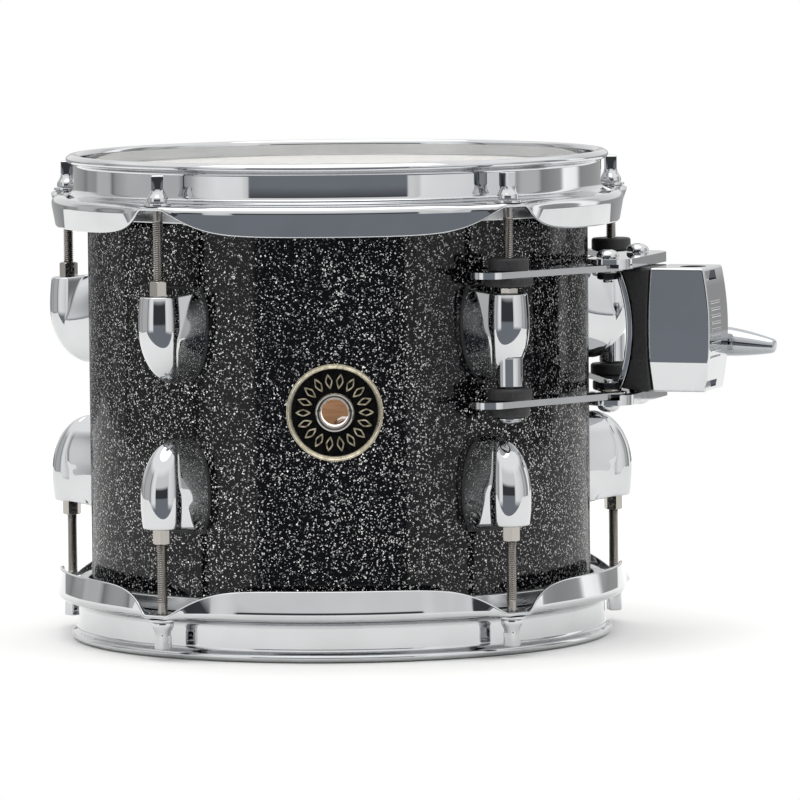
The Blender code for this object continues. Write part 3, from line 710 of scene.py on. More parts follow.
def make_shell():
    """Maple shell with bearing edges cut at 45 degrees, and the wrap glued round it."""
    edge = HEAD_PLANE - FILM_THICKNESS - GAP
    half = [(INSIDE_RADIUS, edge - 3.2), (SHELL_RADIUS - 2.4, edge), (SHELL_RADIUS - 1.2, edge - 0.7),
            (SHELL_RADIUS, edge - 2.6)]
    half = rounded(half, (0.8, 0.5, 0.6, 0.8))
    section = half + [(r, -z) for r, z in reversed(half)]
    cut = [(DRUM_RADIUS + offset, VENT_HOLE_RADIUS) for offset in (-15.0, 15.0)]
    vent = loft("vent_cutter", circles_along_x(cut))
    add_piece("visual_shell", combined(turned("visual_shell", section), vent), "maple")
    inner = DRUM_RADIUS - WRAP_THICKNESS
    wrap = evenly_rounded(rectangle(inner, DRUM_RADIUS, WRAP_HALF_HEIGHT, -WRAP_HALF_HEIGHT), 0.2, 2)
    add_piece("visual_wrap", combined(turned("visual_wrap", wrap), vent), "sparkle_wrap")


def make_heads():
    """Film drawn over the bearing edge into the flesh hoop, on both sides."""
    top = HEAD_PLANE
    low = top - FILM_THICKNESS
    foot = CREST - HOOP_DEPTH + GAP
    film = [(0.0, top), (122.6, top), (124.6, top - 0.3), (126.1, top - 1.7), (127.0, top - 4.0),
            (127.6, top - 6.9), (129.2, foot), (128.6, foot), (127.0, low - 6.6), (126.4, low - 3.8),
            (125.6, low - 1.6), (124.2, low - 0.3), (122.4, low), (0.0, low)]
    hoop_top = CREST - HOOP_DEPTH - GAP
    flesh = [(127.6, hoop_top), (132.2, hoop_top), (132.4, hoop_top - 6.8), (127.4, hoop_top - 6.8)]
    for side, upside_down in (("batter", False), ("resonant", True)):
        head_film = turned("head_film", film)
        flesh_hoop = turned("flesh_hoop", evenly_rounded(flesh, 0.8))
        add_piece(f"visual_{side}_head_film", head_film, "coated_film", upside_down=upside_down)
        add_piece(f"visual_{side}_flesh_hoop", flesh_hoop, "aluminium", upside_down=upside_down)


def hoop_section(offset):
    """The hoop's section at an angle from the nearest ear, as (radius, depth below the crest)."""
    past_ear = max(abs(offset) - EAR_HALF_ANGLE, 0.0)
    ear = exp(-(past_ear / SCALLOP_SPREAD) ** SCALLOP_POWER)
    skirt_and_ear = (((142.2, 20.7), (146.0, EAR_DEPTH)), ((144.2, 23.2), (151.3, EAR_DEPTH)),
                     ((141.9, 35.9), (152.6, EAR_DEPTH + 1.0)), ((139.9, 35.5), (151.6, HOOP_DEPTH)),
                     ((141.8, 28.2), (147.5, HOOP_DEPTH)))
    rim = [(131.4, 0.0), (134.6, 0.0), (136.8, 1.7), (136.3, 3.6), (WALL_OUTER, 5.0),
           (WALL_OUTER, 18.0), (136.0, 19.6)]
    section = rim + [between(skirt, tab, ear) for skirt, tab in skirt_and_ear]
    section += [(139.0, HOOP_DEPTH), (WALL_INNER, HOOP_DEPTH), (WALL_INNER, 1.4)]
    reaches = (0.7, 1.0, 0.9, 0.9, 1.4, 1.8, 1.6, 1.6, 2.4, 0.9, 0.9, 3.6, 1.4, 0.7, 1.0)
    return rounded(section, reaches, 4)


def hoop_mesh():
    """The batter hoop: rings stand closest together at the ears, then the ears are drilled."""
    rings = []
    half = STEPS_PER_SECTOR // 2
    for station in STATIONS:
        for step in range(-half, half):
            share = step / half
            offset = SECTOR / 2 * abs(share) ** 1.35 * (1 if share > 0 else -1)
            bearing = radians(station + offset)
            rings.append([(r * sin(bearing), -r * cos(bearing), CREST - depth)
                          for r, depth in hoop_section(offset)])
    mesh = loft("hoop", rings, endless=True)
    for station in STATIONS:
        bearing = radians(station)
        centre = (ROD_CIRCLE * sin(bearing), -ROD_CIRCLE * cos(bearing))
        drill = [circle(EAR_HOLE_RADIUS, height, 40, centre) for height in (CREST - 40.0, CREST)]
        mesh = combined(mesh, loft("drill", drill))
    return mesh


def make_hoops():
    """The rings are drawn in the drum's own axes, so they are turned back to a station's."""
    batter = hoop_mesh()
    batter.transform(Matrix.Rotation(pi / 2, 4, "Z"))
    add_piece("visual_batter_hoop", batter, "chrome")
    add_piece("visual_resonant_hoop", turned_over(batter), "chrome")


def floor_x(across):
    """The shell side of a lug, seen from its rod axis."""
    return sqrt(LUG_SEAT_RADIUS ** 2 - across ** 2) - ROD_CIRCLE


def lug_sizes(drop):
    """Nose reach, and half widths of barrel and foot, at a drop below the flat end."""
    opening = max(1 - drop / LUG_WIDEST_DROP, 0.0) ** 2
    closing = max(drop - LUG_WIDEST_DROP, 0.0) / (LUG_LENGTH - LUG_WIDEST_DROP)
    fullness = sqrt(max(1 - closing ** 2, 0.0))
    nose_taper, barrel_taper, foot_taper = LUG_MOUTH_TAPERS
    nose = LUG_NOSE * fullness - LUG_TIP_SETBACK * (1 - fullness) - nose_taper * opening
    barrel = LUG_BARREL_HALF_WIDTH * fullness - barrel_taper * opening
    foot = LUG_FOOT_HALF_WIDTH * fullness ** 0.9 - foot_taper * opening
    return nose, barrel, foot


def lug_outline(drop):
    """One section of a lug as (outwards, across): foot, flank, crease, shoulder and barrel."""
    nose, barrel, foot = lug_sizes(drop)
    waist_x = min(1.2, nose - 0.9 * barrel)
    climb = min(drop / LUG_CREASE_DROP, 1.0)
    crease_x = min(LUG_CREASE_RUN * climb ** 0.7 + LUG_CREASE_START, waist_x - 1.6)
    shoulder_x = max(-3.0, crease_x + 0.8) if waist_x > -2.0 else crease_x + 0.8
    crease = (crease_x, barrel + 0.1 + LUG_CREASE_LEAN * (shoulder_x - crease_x))
    shoulder = (shoulder_x, barrel - 0.05)
    floor = floor_x(foot)
    bend = (floor + 0.45 * (crease_x - floor), crease[1] + 0.5 * (foot - crease[1]))
    side = [curve_point(crease, bend, (floor, foot), step / 9) for step in range(9, 0, -1)]
    side += soft_corner(side[-1], crease, shoulder, 1.2)
    side += soft_corner(crease, shoulder, (waist_x, barrel), 0.6)
    side += [(waist_x + (nose - waist_x) * cos(radians(bearing)), barrel * sin(radians(bearing)))
             for bearing in range(90, 0, -9)]
    back = [(floor_x(foot * share), -foot * share)
            for share in (0.75, 0.5, 0.25, 0.0, -0.25, -0.5, -0.75)]
    return side + [(nose, 0.0)] + [(x, -y) for x, y in reversed(side)] + back


def lug_height(x, drop):
    """The flat end climbs towards the shell on its inner side; lower rings lie flatter."""
    climb = 0.02 * (LUG_NOSE - x) + LUG_END_CLIMB * (min(x, 0.0) / LUG_FOOT_DEPTH) ** 2
    return LUG_FLAT_END - drop + climb * (1 - drop / LUG_LENGTH) ** 2


def lug_rings():
    rings = []
    for share in (0.04, 0.3, 0.55, 0.75, 0.9, 0.97):
        flat = [(-4.0 + (x + 4.0) * share, y * share) for x, y in inset(lug_outline(0.0), LUG_EDGE)]
        rings.append([(x, y, lug_height(x, 0.0)) for x, y in flat])
    drops = [LUG_EDGE * (1 - cos(radians(turn))) for turn in (0, 22, 45, 67)]
    drops += [LUG_EDGE + (LUG_WIDEST_DROP - LUG_EDGE) * step / 12 for step in range(12)]
    drops += [LUG_WIDEST_DROP + (LUG_LENGTH - LUG_WIDEST_DROP) * sin(radians(turn))
              for turn in range(0, 90, 4)]
    for drop in drops:
        left = max(LUG_EDGE - drop, 0.0)
        drawn = inset(lug_outline(drop), LUG_EDGE - sqrt(LUG_EDGE ** 2 - left ** 2))
        rings.append([(x, y, lug_height(x, drop)) for x, y in drawn])
    return rings


def lug_mesh(with_stud_socket):
    mesh = loft("lug", lug_rings())
    bore_foot = LUG_FLAT_END - LUG_BORE_DEPTH
    bore = [(LUG_BORE_RADIUS, bore_foot), (LUG_BORE_RADIUS, LUG_FLAT_END - 0.5),
            (LUG_BORE_RADIUS + 3.0, LUG_FLAT_END + 2.5)]
    mesh = combined(mesh, loft("bore", circles(bore)))
    if with_stud_socket:
        socket = [(STUD_RADIUS + 0.05, height) for height in (STUD_SHOULDER, STUD_TOP + GAP)]
        mesh = combined(mesh, loft("socket", circles(socket)))
    return mesh


def gasket_mesh():
    """A thin rubber seat between lug and wrap that shows as a dark line round the foot."""
    inner, outer = DRUM_RADIUS + 0.02, LUG_SEAT_RADIUS - 0.06
    rings = []
    for drop in (-GASKET_LIP, -0.5, 0.5, 2.0, 4.0, 7.0, 10.0, 14.0, 18.0, 22.0, 26.0, 30.0, 33.0,
                 36.0, 38.5, 40.5, 42.0, 43.0, 43.5):
        half_width = lug_sizes(max(drop, 0.0))[2] + GASKET_LIP
        height = LUG_FLAT_END - drop + LUG_END_CLIMB * (1 - max(drop, 0.0) / LUG_LENGTH) ** 2
        columns = [half_width * step / 6 for step in range(-6, 7)]
        rings.append([on_drum(outer, y, height) for y in columns]
                     + [on_drum(inner, y, height) for y in reversed(columns)])
    return loft("gasket", rings)


def screw_mesh():
    """Hexagon head with its washer, on the inner side of the shell; it points inwards."""
    washer = circles_along_x([(INSIDE_RADIUS - depth, radius) for depth, radius in (
        (0.05, 4.6), (0.05, 5.5), (0.85, 5.5), (1.0, 5.2), (1.0, 4.0))], 36)
    head = [[(INSIDE_RADIUS - 1.0 - depth, y, z)
             for y, z, _ in shaped_ring(lambda b: min(hexagon_reach(b, 7.0), cap), 0.0, 36)]
            for depth, cap in ((0.0, 9.0), (2.4, 9.0), (2.7, 3.75), (3.0, 3.4))]
    return loft("lug_screw", washer + head)


def nut_mesh(name, foot, top, across_flats, bore):
    """A hexagon nut with turned chamfers at both ends and a countersunk bore."""
    rings = []
    for height, cap in ((foot, 0.49), (foot + 0.2, 0.53), (foot + 0.5, 0.6), (top - 0.5, 0.6),
                        (top - 0.2, 0.53), (top, 0.49)):
        limit = cap * across_flats
        rings.append(shaped_ring(
            lambda bearing: min(hexagon_reach(bearing, across_flats), limit), height))
    rings += circles([(bore + 0.35, top), (bore, top - 0.4), (bore, foot + 0.4), (bore + 0.35, foot)])
    return loft(name, rings, endless=True)


def thread_rings(top, foot, radius):
    """Rings of a screw thread, which turns once in each pitch."""
    count = 48
    steps = int((top - foot) / THREAD_PITCH * 6)
    rings = []
    for step in range(steps + 1):
        height = top - (top - foot) * step / steps
        ring = []
        for i in range(count):
            turn = i / count
            phase = (height / THREAD_PITCH - turn) % 1.0
            groove = min(max(abs(2 * phase - 1) * 1.3 - 0.15, 0.0), 1.0)
            fade = min(min(top - height, height - foot) / THREAD_PITCH + 0.3, 1.0)
            reach = radius - THREAD_DEPTH * groove * fade
            ring.append((reach * cos(2 * pi * turn), reach * sin(2 * pi * turn), height))
        rings.append(ring)
    return rings


def rod_mesh():
    """A key rod: drive square, flare, flange, plain neck and threaded shaft."""
    rings = []
    for drop, width in ((0.0, 4.6), (0.12, 5.5), (0.4, 6.1), (0.8, KEY_HEAD_WIDTH),
                        (KEY_HEAD_HEIGHT, KEY_HEAD_WIDTH)):
        rings.append(shaped_ring(lambda bearing: square_reach(bearing, width), ROD_HEAD_TOP - drop))
    for drop, radius, squareness in ((7.4, 3.55, 0.55), (8.4, 3.85, 0.25), (9.6, 4.35, 0.05)):
        rings.append(shaped_ring(
            lambda bearing: radius + squareness * (square_reach(bearing, KEY_HEAD_WIDTH) - radius),
            ROD_HEAD_TOP - drop))
    rings += circles([(radius, ROD_HEAD_TOP - drop) for drop, radius in (
        (10.7, 5.0), (11.2, 5.25), (11.8, 5.35), (13.2, 5.35), (13.5, 5.2),
        (ROD_HEAD_HEIGHT, 4.9), (ROD_HEAD_HEIGHT, 2.45))])
    rings.append(circle(2.4, THREAD_TOP))
    rings += thread_rings(THREAD_TOP - 0.2, ROD_FOOT + 0.5, ROD_RADIUS)
    rings.append(circle(1.9, ROD_FOOT))
    mesh = loft("tension_rod", rings)
    mesh.materials.append(finishes["thread_steel"])
    finish_above(mesh, ROD_HEAD_TOP - ROD_HEAD_HEIGHT - 0.01, "chrome")
    return mesh


def washer_mesh():
    section = rectangle(WASHER_BORE, WASHER_RADIUS, 0.0, WASHER_THICKNESS)
    return turned("washer", evenly_rounded(section, 0.25), 72)


def make_tension_hardware():
    """Lug, gasket, screws, swivel nut, rod and washer at every station of both heads."""
    plain_lug, mount_lug = lug_mesh(False), lug_mesh(True)
    gasket, screw, washer, rod = gasket_mesh(), screw_mesh(), washer_mesh(), rod_mesh()
    tall_nut = nut_mesh("swivel_nut", NUT_FOOT, NUT_TOP, NUT_ACROSS_FLATS, NUT_BORE)
    short_nut = nut_mesh("swivel_nut", NUT_FOOT, SHORT_NUT_TOP, NUT_ACROSS_FLATS, NUT_BORE)
    washer_foot = CREST - EAR_DEPTH + 0.1
    for label, axis in rod_axes.items():
        angle = degrees(atan2(axis.x, -axis.y))
        under = label.startswith("resonant")
        on_mount = not under and round(angle) in (round(a) for a in MOUNT_STATIONS.values())
        at_rod = {"angle": angle, "radius": ROD_CIRCLE, "upside_down": under}
        add_piece(f"visual_lug_{label}", mount_lug if on_mount else plain_lug, "chrome", **at_rod)
        add_piece(f"lug_gasket_{label}", gasket, "rubber", angle=angle, upside_down=under)
        for order, drop in enumerate(LUG_SCREW_DROPS):
            height = LUG_FLAT_END - drop
            add_piece(f"lug_screw_{label}_{order}", screw, "nickel", angle=angle,
                      height=-height if under else height)
        add_piece(f"visual_swivel_nut_{label}", short_nut if on_mount else tall_nut, "nickel",
                  **at_rod)
        turned_rod = rod.copy()
        turned_rod.transform(Matrix.Rotation(radians(KEY_TURNS.get(label, 0)), 4, "Z"))
        add_piece(f"visual_tension_rod_{label}", turned_rod, "thread_steel",
                  f"tension_rod_{label}", **at_rod)
        add_piece(f"rod_washer_{label}", washer, "chrome", **at_rod,
                  height=-washer_foot if under else washer_foot)


# Badge and vent ----------------------------------------------------------------------------

def bent_rings(profile, count):
    """Concentric rings of (height above the drum, radius from the centre), bent to the drum."""
    return [[on_drum(DRUM_RADIUS + rise, y, z) for y, z, _ in circle(reach, 0.0, count)]
            for rise, reach in profile]


def lozenge_mesh():
    """A ring of hollow raised lozenges, each pointing away from the vent."""
    form = bmesh.new()
    for index in range(LOZENGES):
        bearing = 2 * pi * index / LOZENGES
        rings = []
        for rise, size in ((0.55, 1.0), (1.15, 0.94), (1.3, 0.8), (1.15, 0.62), (0.55, 0.56)):
            ring = []
            for step in range(LOZENGE_SIDES):
                turn = 2 * pi * step / LOZENGE_SIDES
                norm = (abs(cos(turn)) ** 1.25 + abs(sin(turn)) ** 1.25) ** -0.8
                out = LOZENGE_CENTRE + LOZENGE_LENGTH / 2 * size * norm * cos(turn)
                side = LOZENGE_WIDTH / 2 * size * norm * sin(turn)
                y = out * cos(bearing) - side * sin(bearing)
                z = out * sin(bearing) + side * cos(bearing)
                ring.append(form.verts.new([c * MM for c in on_drum(DRUM_RADIUS + rise, y, z)]))
            rings.append(ring)
        for here, there in zip(rings, rings[1:] + rings[:1]):
            for i in range(LOZENGE_SIDES):
                form.faces.new((here[i], here[i - 1], there[i - 1], there[i]))
    mesh = bpy.data.meshes.new("badge_ornament")
    form.to_mesh(mesh)
    form.free()
    return tidied(mesh)


def make_badge():
    """Brass plate with a bright bead round it, a black field and a generic raised ornament."""
    plate_profile = ((0.32, 8.15), (0.32, 23.5), (0.5, 23.8), (0.9, BADGE_RADIUS), (1.3, 23.8),
                     (1.42, 23.45), (1.35, 23.1), (1.15, 22.85), (1.02, 22.6), (0.95, 22.2),
                     (0.82, 21.75), (0.5, 21.5), (0.5, 15.0), (0.5, 9.4), (0.9, 8.9), (0.9, 8.15))
    add_piece("visual_badge", loft("badge", bent_rings(plate_profile, 144), endless=True), "pale_brass")
    field = ((0.51, 9.6), (0.51, 21.4), (0.66, 21.25), (0.7, 20.95), (0.7, 10.0), (0.66, 9.7))
    add_piece("badge_field", loft("badge_field", bent_rings(field, 144), endless=True), "enamel")
    add_piece("badge_ornament", lozenge_mesh(), "antique_brass")


def make_vent_grommet():
    """A rolled tube: outer bead, groove and inner lip round the vent."""
    seat = DRUM_RADIUS + 2 * GAP + 1.1
    inside = INSIDE_RADIUS - 2.0
    beads = ((0.0, VENT_TUBE_RADIUS), (0.0, 9.1), (0.3, 9.42), (0.8, 9.45), (1.25, 9.2), (1.4, 8.85),
             (1.2, 8.5), (0.7, 8.3), (0.7, 8.1), (1.2, 7.95), (1.5, 7.7), (1.55, 7.4), (1.4, 7.1),
             (1.0, 6.9), (0.0, VENT_BORE_RADIUS))
    profile = [(inside, VENT_TUBE_RADIUS), *((seat + rise, radius) for rise, radius in beads),
               (inside, VENT_BORE_RADIUS)]
    rings = circles_along_x(profile, 96)
    add_piece("visual_vent_grommet", loft("vent_grommet", rings, endless=True), "nickel")


# Suspension mount --------------------------------------------------------------------------

def arm_line(station):
    """Rod point and bolt point of an arm, seen from the mount's own axes."""
    away = radians(station - MOUNT_ANGLE)
    rod = (ROD_CIRCLE * cos(away), ROD_CIRCLE * sin(away))
    bolt = (BOLT_RADIUS_FROM_AXIS, BOLT_OFFSET if away > 0 else -BOLT_OFFSET)
    return rod, bolt


def arm_mesh(station, level):
    rod, bolt = arm_line(station)
    reach = hypot(bolt[0] - rod[0], bolt[1] - rod[1])
    tail = between(rod, bolt, -ARM_TAIL / reach)
    head = between(bolt, rod, 0.8 / reach)
    outlines = [stadium(tail, head, ARM_HALF_WIDTH), flat_circle(ARM_HOLE_RADIUS, rod, 48),
                flat_circle(BOLT_HOLE_RADIUS, bolt, 32)]
    low = level * ARM_INNER_FACE if level > 0 else -ARM_INNER_FACE - ARM_THICKNESS
    return bevelled(plate("arm", outlines, low, low + ARM_THICKNESS), 0.55)


def bolt_mesh():
    """Button head with a hexagon socket, and a threaded shank; z is 0 under the head."""
    crown = BOLT_HEAD_HEIGHT
    length = FLANGE_THICKNESS + 2 * GAP + ARM_THICKNESS + GAP + BOLT_NUT_HEIGHT + 1.5
    dome = [(BOLT_HEAD_RADIUS * sin(radians(turn)), 0.9 + (crown - 0.9) * cos(radians(turn)))
            for turn in (12, 25, 38, 50, 62, 74, 84, 90)]
    rings = circles(dome + [(BOLT_HEAD_RADIUS, 0.3), (BOLT_HEAD_RADIUS - 0.3, 0.0),
                            (BOLT_SHANK_RADIUS, 0.0)])
    rings += thread_rings(-0.6, -length, BOLT_SHANK_RADIUS)
    socket = [shaped_ring(lambda bearing: hexagon_reach(bearing, 3.2), height, 36)
              for height in (crown - 2.2, crown + 1)]
    return combined(loft("arm_bolt", rings), loft("socket", socket))


def grommet_mesh(level, sizes):
    """A rubber bobbin with soft collars: one on each face of the arm and a neck through it."""
    top = level * (ARM_INNER_FACE + ARM_THICKNESS / 2) + ARM_THICKNESS / 2
    foot = top - ARM_THICKNESS
    (upper_radius, upper_height), (lower_radius, lower_height) = sizes["above"], sizes["below"]
    bore = sizes["bore"]
    upper, lower = top + GAP / 3, foot - GAP / 3
    section = [(bore, upper + upper_height), (upper_radius, upper + upper_height),
               (upper_radius, upper), (GROMMET_NECK_RADIUS, upper), (GROMMET_NECK_RADIUS, lower),
               (lower_radius, lower), (lower_radius, lower - lower_height),
               (bore, lower - lower_height)]
    return turned("grommet", rounded(section, (0.5, 1.5, 0.8, 0.2, 0.2, 0.8, 1.5, 0.5), 4), 72)


def stud_mesh():
    """Round stud seated in the lug, stepped down to a shank through the lower arm."""
    section = [(0.0, STUD_TOP), (STUD_RADIUS, STUD_TOP), (STUD_RADIUS, STUD_SHOULDER),
               (STUD_SHANK_RADIUS, STUD_SHOULDER), (STUD_SHANK_RADIUS, CAP_NUT_TOP - 1.0),
               (0.0, CAP_NUT_TOP - 1.0)]
    return turned("stud", rounded(section, (0.0, 0.5, 0.7, 0.3, 0.3, 0.0)), 72)


def cap_nut_mesh():
    """A low dome over a flanged hexagon; z is 0 at its seat and it hangs down."""
    profile = [(3.2, 0.0), (CAP_NUT_RADIUS - 0.3, 0.0), (CAP_NUT_RADIUS, -0.3),
               (CAP_NUT_RADIUS, -0.8), (CAP_NUT_RADIUS - 0.5, -1.2)]
    width, rise = CAP_NUT_RADIUS - 0.8, CAP_NUT_HEIGHT - 1.2
    profile += [(width * cos(radians(turn)), -1.2 - rise * sin(radians(turn)))
                for turn in (10, 25, 40, 55, 70, 82, 88)]
    return loft("cap_nut", circles(profile))


def web_outer(height):
    share = height / (ARM_INNER_FACE + ARM_THICKNESS)
    return WEB_OUTER_AT_MIDDLE - (WEB_OUTER_AT_MIDDLE - WEB_OUTER_AT_FLANGE) * share ** 2


def bracket_mesh():
    """Two round-ended flanges cast in one with a web that bows outwards and swells at them."""
    inner = ARM_INNER_FACE + ARM_THICKNESS + GAP
    middle = inner + FLANGE_THICKNESS / 2
    rings = []
    for step in range(-24, 25):
        height = step / 24 * middle
        swell = WEB_SWELL * max(0.0, 1 - (middle - abs(height)) / WEB_SWELL_REACH) ** 2
        face = web_outer(height) + swell * 0.6
        back = web_outer(height) - WEB_THICKNESS - swell
        outline = evenly_rounded(rectangle(back, face, -WEB_HALF_WIDTH, WEB_HALF_WIDTH), 0.7)
        rings.append(lifted(outline, height))
    mesh = loft("bracket", rings)
    ends = [(FLANGE_CENTRE_RADIUS, -FLANGE_END_OFFSET), (FLANGE_CENTRE_RADIUS, FLANGE_END_OFFSET)]
    holes = [flat_circle(BOLT_HOLE_RADIUS, (BOLT_RADIUS_FROM_AXIS, side * BOLT_OFFSET), 32)
             for side in (-1, 1)]
    for low in (inner, -inner - FLANGE_THICKNESS):
        outlines = [stadium(ends[0], ends[1], FLANGE_END_RADIUS)] + holes
        high = low + FLANGE_THICKNESS
        foot, top = (low - LIP_DEPTH, high) if low > 0 else (low, high + LIP_DEPTH)
        spare = (foot - 1.0, low) if low > 0 else (high, top + 1.0)
        flange = bevelled(plate("flange", outlines, foot, top), FLANGE_BEVEL, 5)
        behind_lip = box_mesh("spare", (FLANGE_CENTRE_RADIUS - 30.0, -60.0, spare[0]),
                              (LIP_START, 60.0, spare[1]))
        mesh = combined(mesh, combined(flange, behind_lip), "UNION")
    return mesh


def pad_mesh():
    """Rubber pad with two shallow grooves round its edge."""
    rings = []
    half = BLOCK_HALF_HEIGHT
    for step in range(-40, 41):
        height = step / 40 * half
        groove = PAD_GROOVE if abs(abs(height) - half * 0.45) < 0.8 else 0.0
        end = 1.0 - sqrt(max(1.0 - max(abs(height) - half + 1.0, 0.0) ** 2, 0.0))
        width = BLOCK_HALF_WIDTH - end - groove
        bow = BLOCK_BOW * (height / half) ** 2
        inner = min(web_outer(height) + GAP, PAD_INNER) if abs(height) < PAD_TONGUE else PAD_INNER
        outer = PAD_INNER + PAD_THICKNESS + bow - end
        corners = [(inner + groove, -PAD_INNER_HALF_WIDTH), (outer, -width),
                   (outer, width), (inner + groove, PAD_INNER_HALF_WIDTH)]
        rings.append(lifted(evenly_rounded(corners, 1.2, 4), height))
    return loft("pad", rings)


def block_mesh():
    """Clamp block: crowned ribbed face with two recesses, upright socket, pocket for the eye."""
    rings = []
    for step in range(-24, 25):
        height = step / 24 * BLOCK_HALF_HEIGHT
        inner = PAD_INNER + PAD_THICKNESS + GAP + BLOCK_BOW * (step / 24) ** 2
        face = BLOCK_OUTER_AT_ENDS + BLOCK_CROWN * (1 - (step / 24) ** 2)
        near = -BLOCK_HALF_WIDTH + max(FACET_TOP - height, 0.0) * tan(radians(FACET_TILT))
        rings.append(lifted(rectangle(inner, face, near, BLOCK_HALF_WIDTH), height))
    mesh = bevelled(loft("block", rings), BLOCK_EDGE, 4, 60)
    centre = (SOCKET_RADIUS_FROM_AXIS, 0.0)
    socket = [circle(SOCKET_RADIUS, height, 64, centre)
              for height in (-BLOCK_HALF_HEIGHT - 5, BLOCK_HALF_HEIGHT + 5)]
    low = (SOCKET_RADIUS_FROM_AXIS - POCKET_HALF_WIDTH, POCKET_BOTTOM, CLAMP_Z - POCKET_HALF_HEIGHT)
    high = (SOCKET_RADIUS_FROM_AXIS + POCKET_HALF_WIDTH, BLOCK_HALF_WIDTH + 5,
            CLAMP_Z + POCKET_HALF_HEIGHT)
    tools = [loft("socket", socket), box_mesh("pocket", low, high)]
    tools += [box_mesh("recess", (RECESS_FLOOR, RECESS_START, foot), (210.0, RECESS_END, top))
              for foot, top in RECESS_HEIGHTS]
    for tool in tools:
        mesh = combined(mesh, tool)
    for order in range(-4, 5):
        height = order * RIB_PITCH
        face = BLOCK_OUTER_AT_ENDS + BLOCK_CROWN * (1 - (height / BLOCK_HALF_HEIGHT) ** 2)
        rib = box_mesh("rib", (face - 1.5, RIB_START, height - RIB_HALF_HEIGHT),
                       (face + RIB_RISE, RIB_END, height + RIB_HALF_HEIGHT))
        mesh = combined(mesh, bevelled(rib, 0.3, 2), "UNION")
    return mesh


def along_y(rings):
    """Rings drawn round the Z axis, laid over so that their heights run along Y."""
    return [[(x, z, -y) for x, y, z in ring] for ring in rings]


def eyebolt_mesh():
    """The eye lies round the socket and its threaded shank runs out through the lever's hub."""
    section = rectangle(SOCKET_RADIUS, EYE_RADIUS, -EYE_HALF_HEIGHT, EYE_HALF_HEIGHT)
    eye = turned("eye", evenly_rounded(section, 0.9), 72)
    start = (SOCKET_RADIUS + EYE_RADIUS) / 2
    shank = circles([(EYE_SHANK_RADIUS, start), (EYE_SHANK_RADIUS, 16.0)])
    shank += reversed(thread_rings(EYE_SHANK_END, 16.2, EYE_SHANK_RADIUS))
    return combined(eye, loft("shank", along_y(shank)), "UNION")


def handle_mesh():
    """A rounded hub on the eyebolt's shank with one tapered lever that droops a little."""
    start = BLOCK_HALF_WIDTH + GAP
    hub = [(HUB_BORE, start), (HUB_RADIUS - 0.9, start), (HUB_RADIUS - 0.3, start + 0.3),
           (HUB_RADIUS, start + 0.9), (HUB_RADIUS, HUB_END - 1.6), (HUB_RADIUS - 0.25, HUB_END - 0.8),
           (HUB_RADIUS - 0.9, HUB_END - 0.25), (HUB_RADIUS - 2.0, HUB_END), (HUB_BORE, HUB_END)]
    body = loft("hub", along_y(circles(hub, 64)), endless=True)
    droop = radians(LEVER_DROOP)
    sections = [(HUB_BORE + 2.0, LEVER_ROOT_RADIUS - 0.3)]
    for share in (0.3, 0.45, 0.6, 0.72, 0.82, 0.9, 0.96):
        taper = (max(share - 0.2, 0.0) / 0.8) ** 1.6
        narrowing = (LEVER_ROOT_RADIUS - LEVER_TIP_RADIUS - 0.3) * taper
        sections.append((LEVER_LENGTH * share, LEVER_ROOT_RADIUS - narrowing))
    sections += [(LEVER_LENGTH - 0.6, LEVER_TIP_RADIUS + 0.2),
                 (LEVER_LENGTH - 0.15, LEVER_TIP_RADIUS - 0.2),
                 (LEVER_LENGTH, LEVER_TIP_RADIUS - 0.8)]
    rings = [[(reach * cos(droop) + z * sin(droop), LEVER_OFFSET + y,
               -reach * sin(droop) + z * cos(droop)) for y, z, _ in circle(radius, 0.0, 64)]
             for reach, radius in sections]
    return combined(body, loft("lever", rings), "UNION")


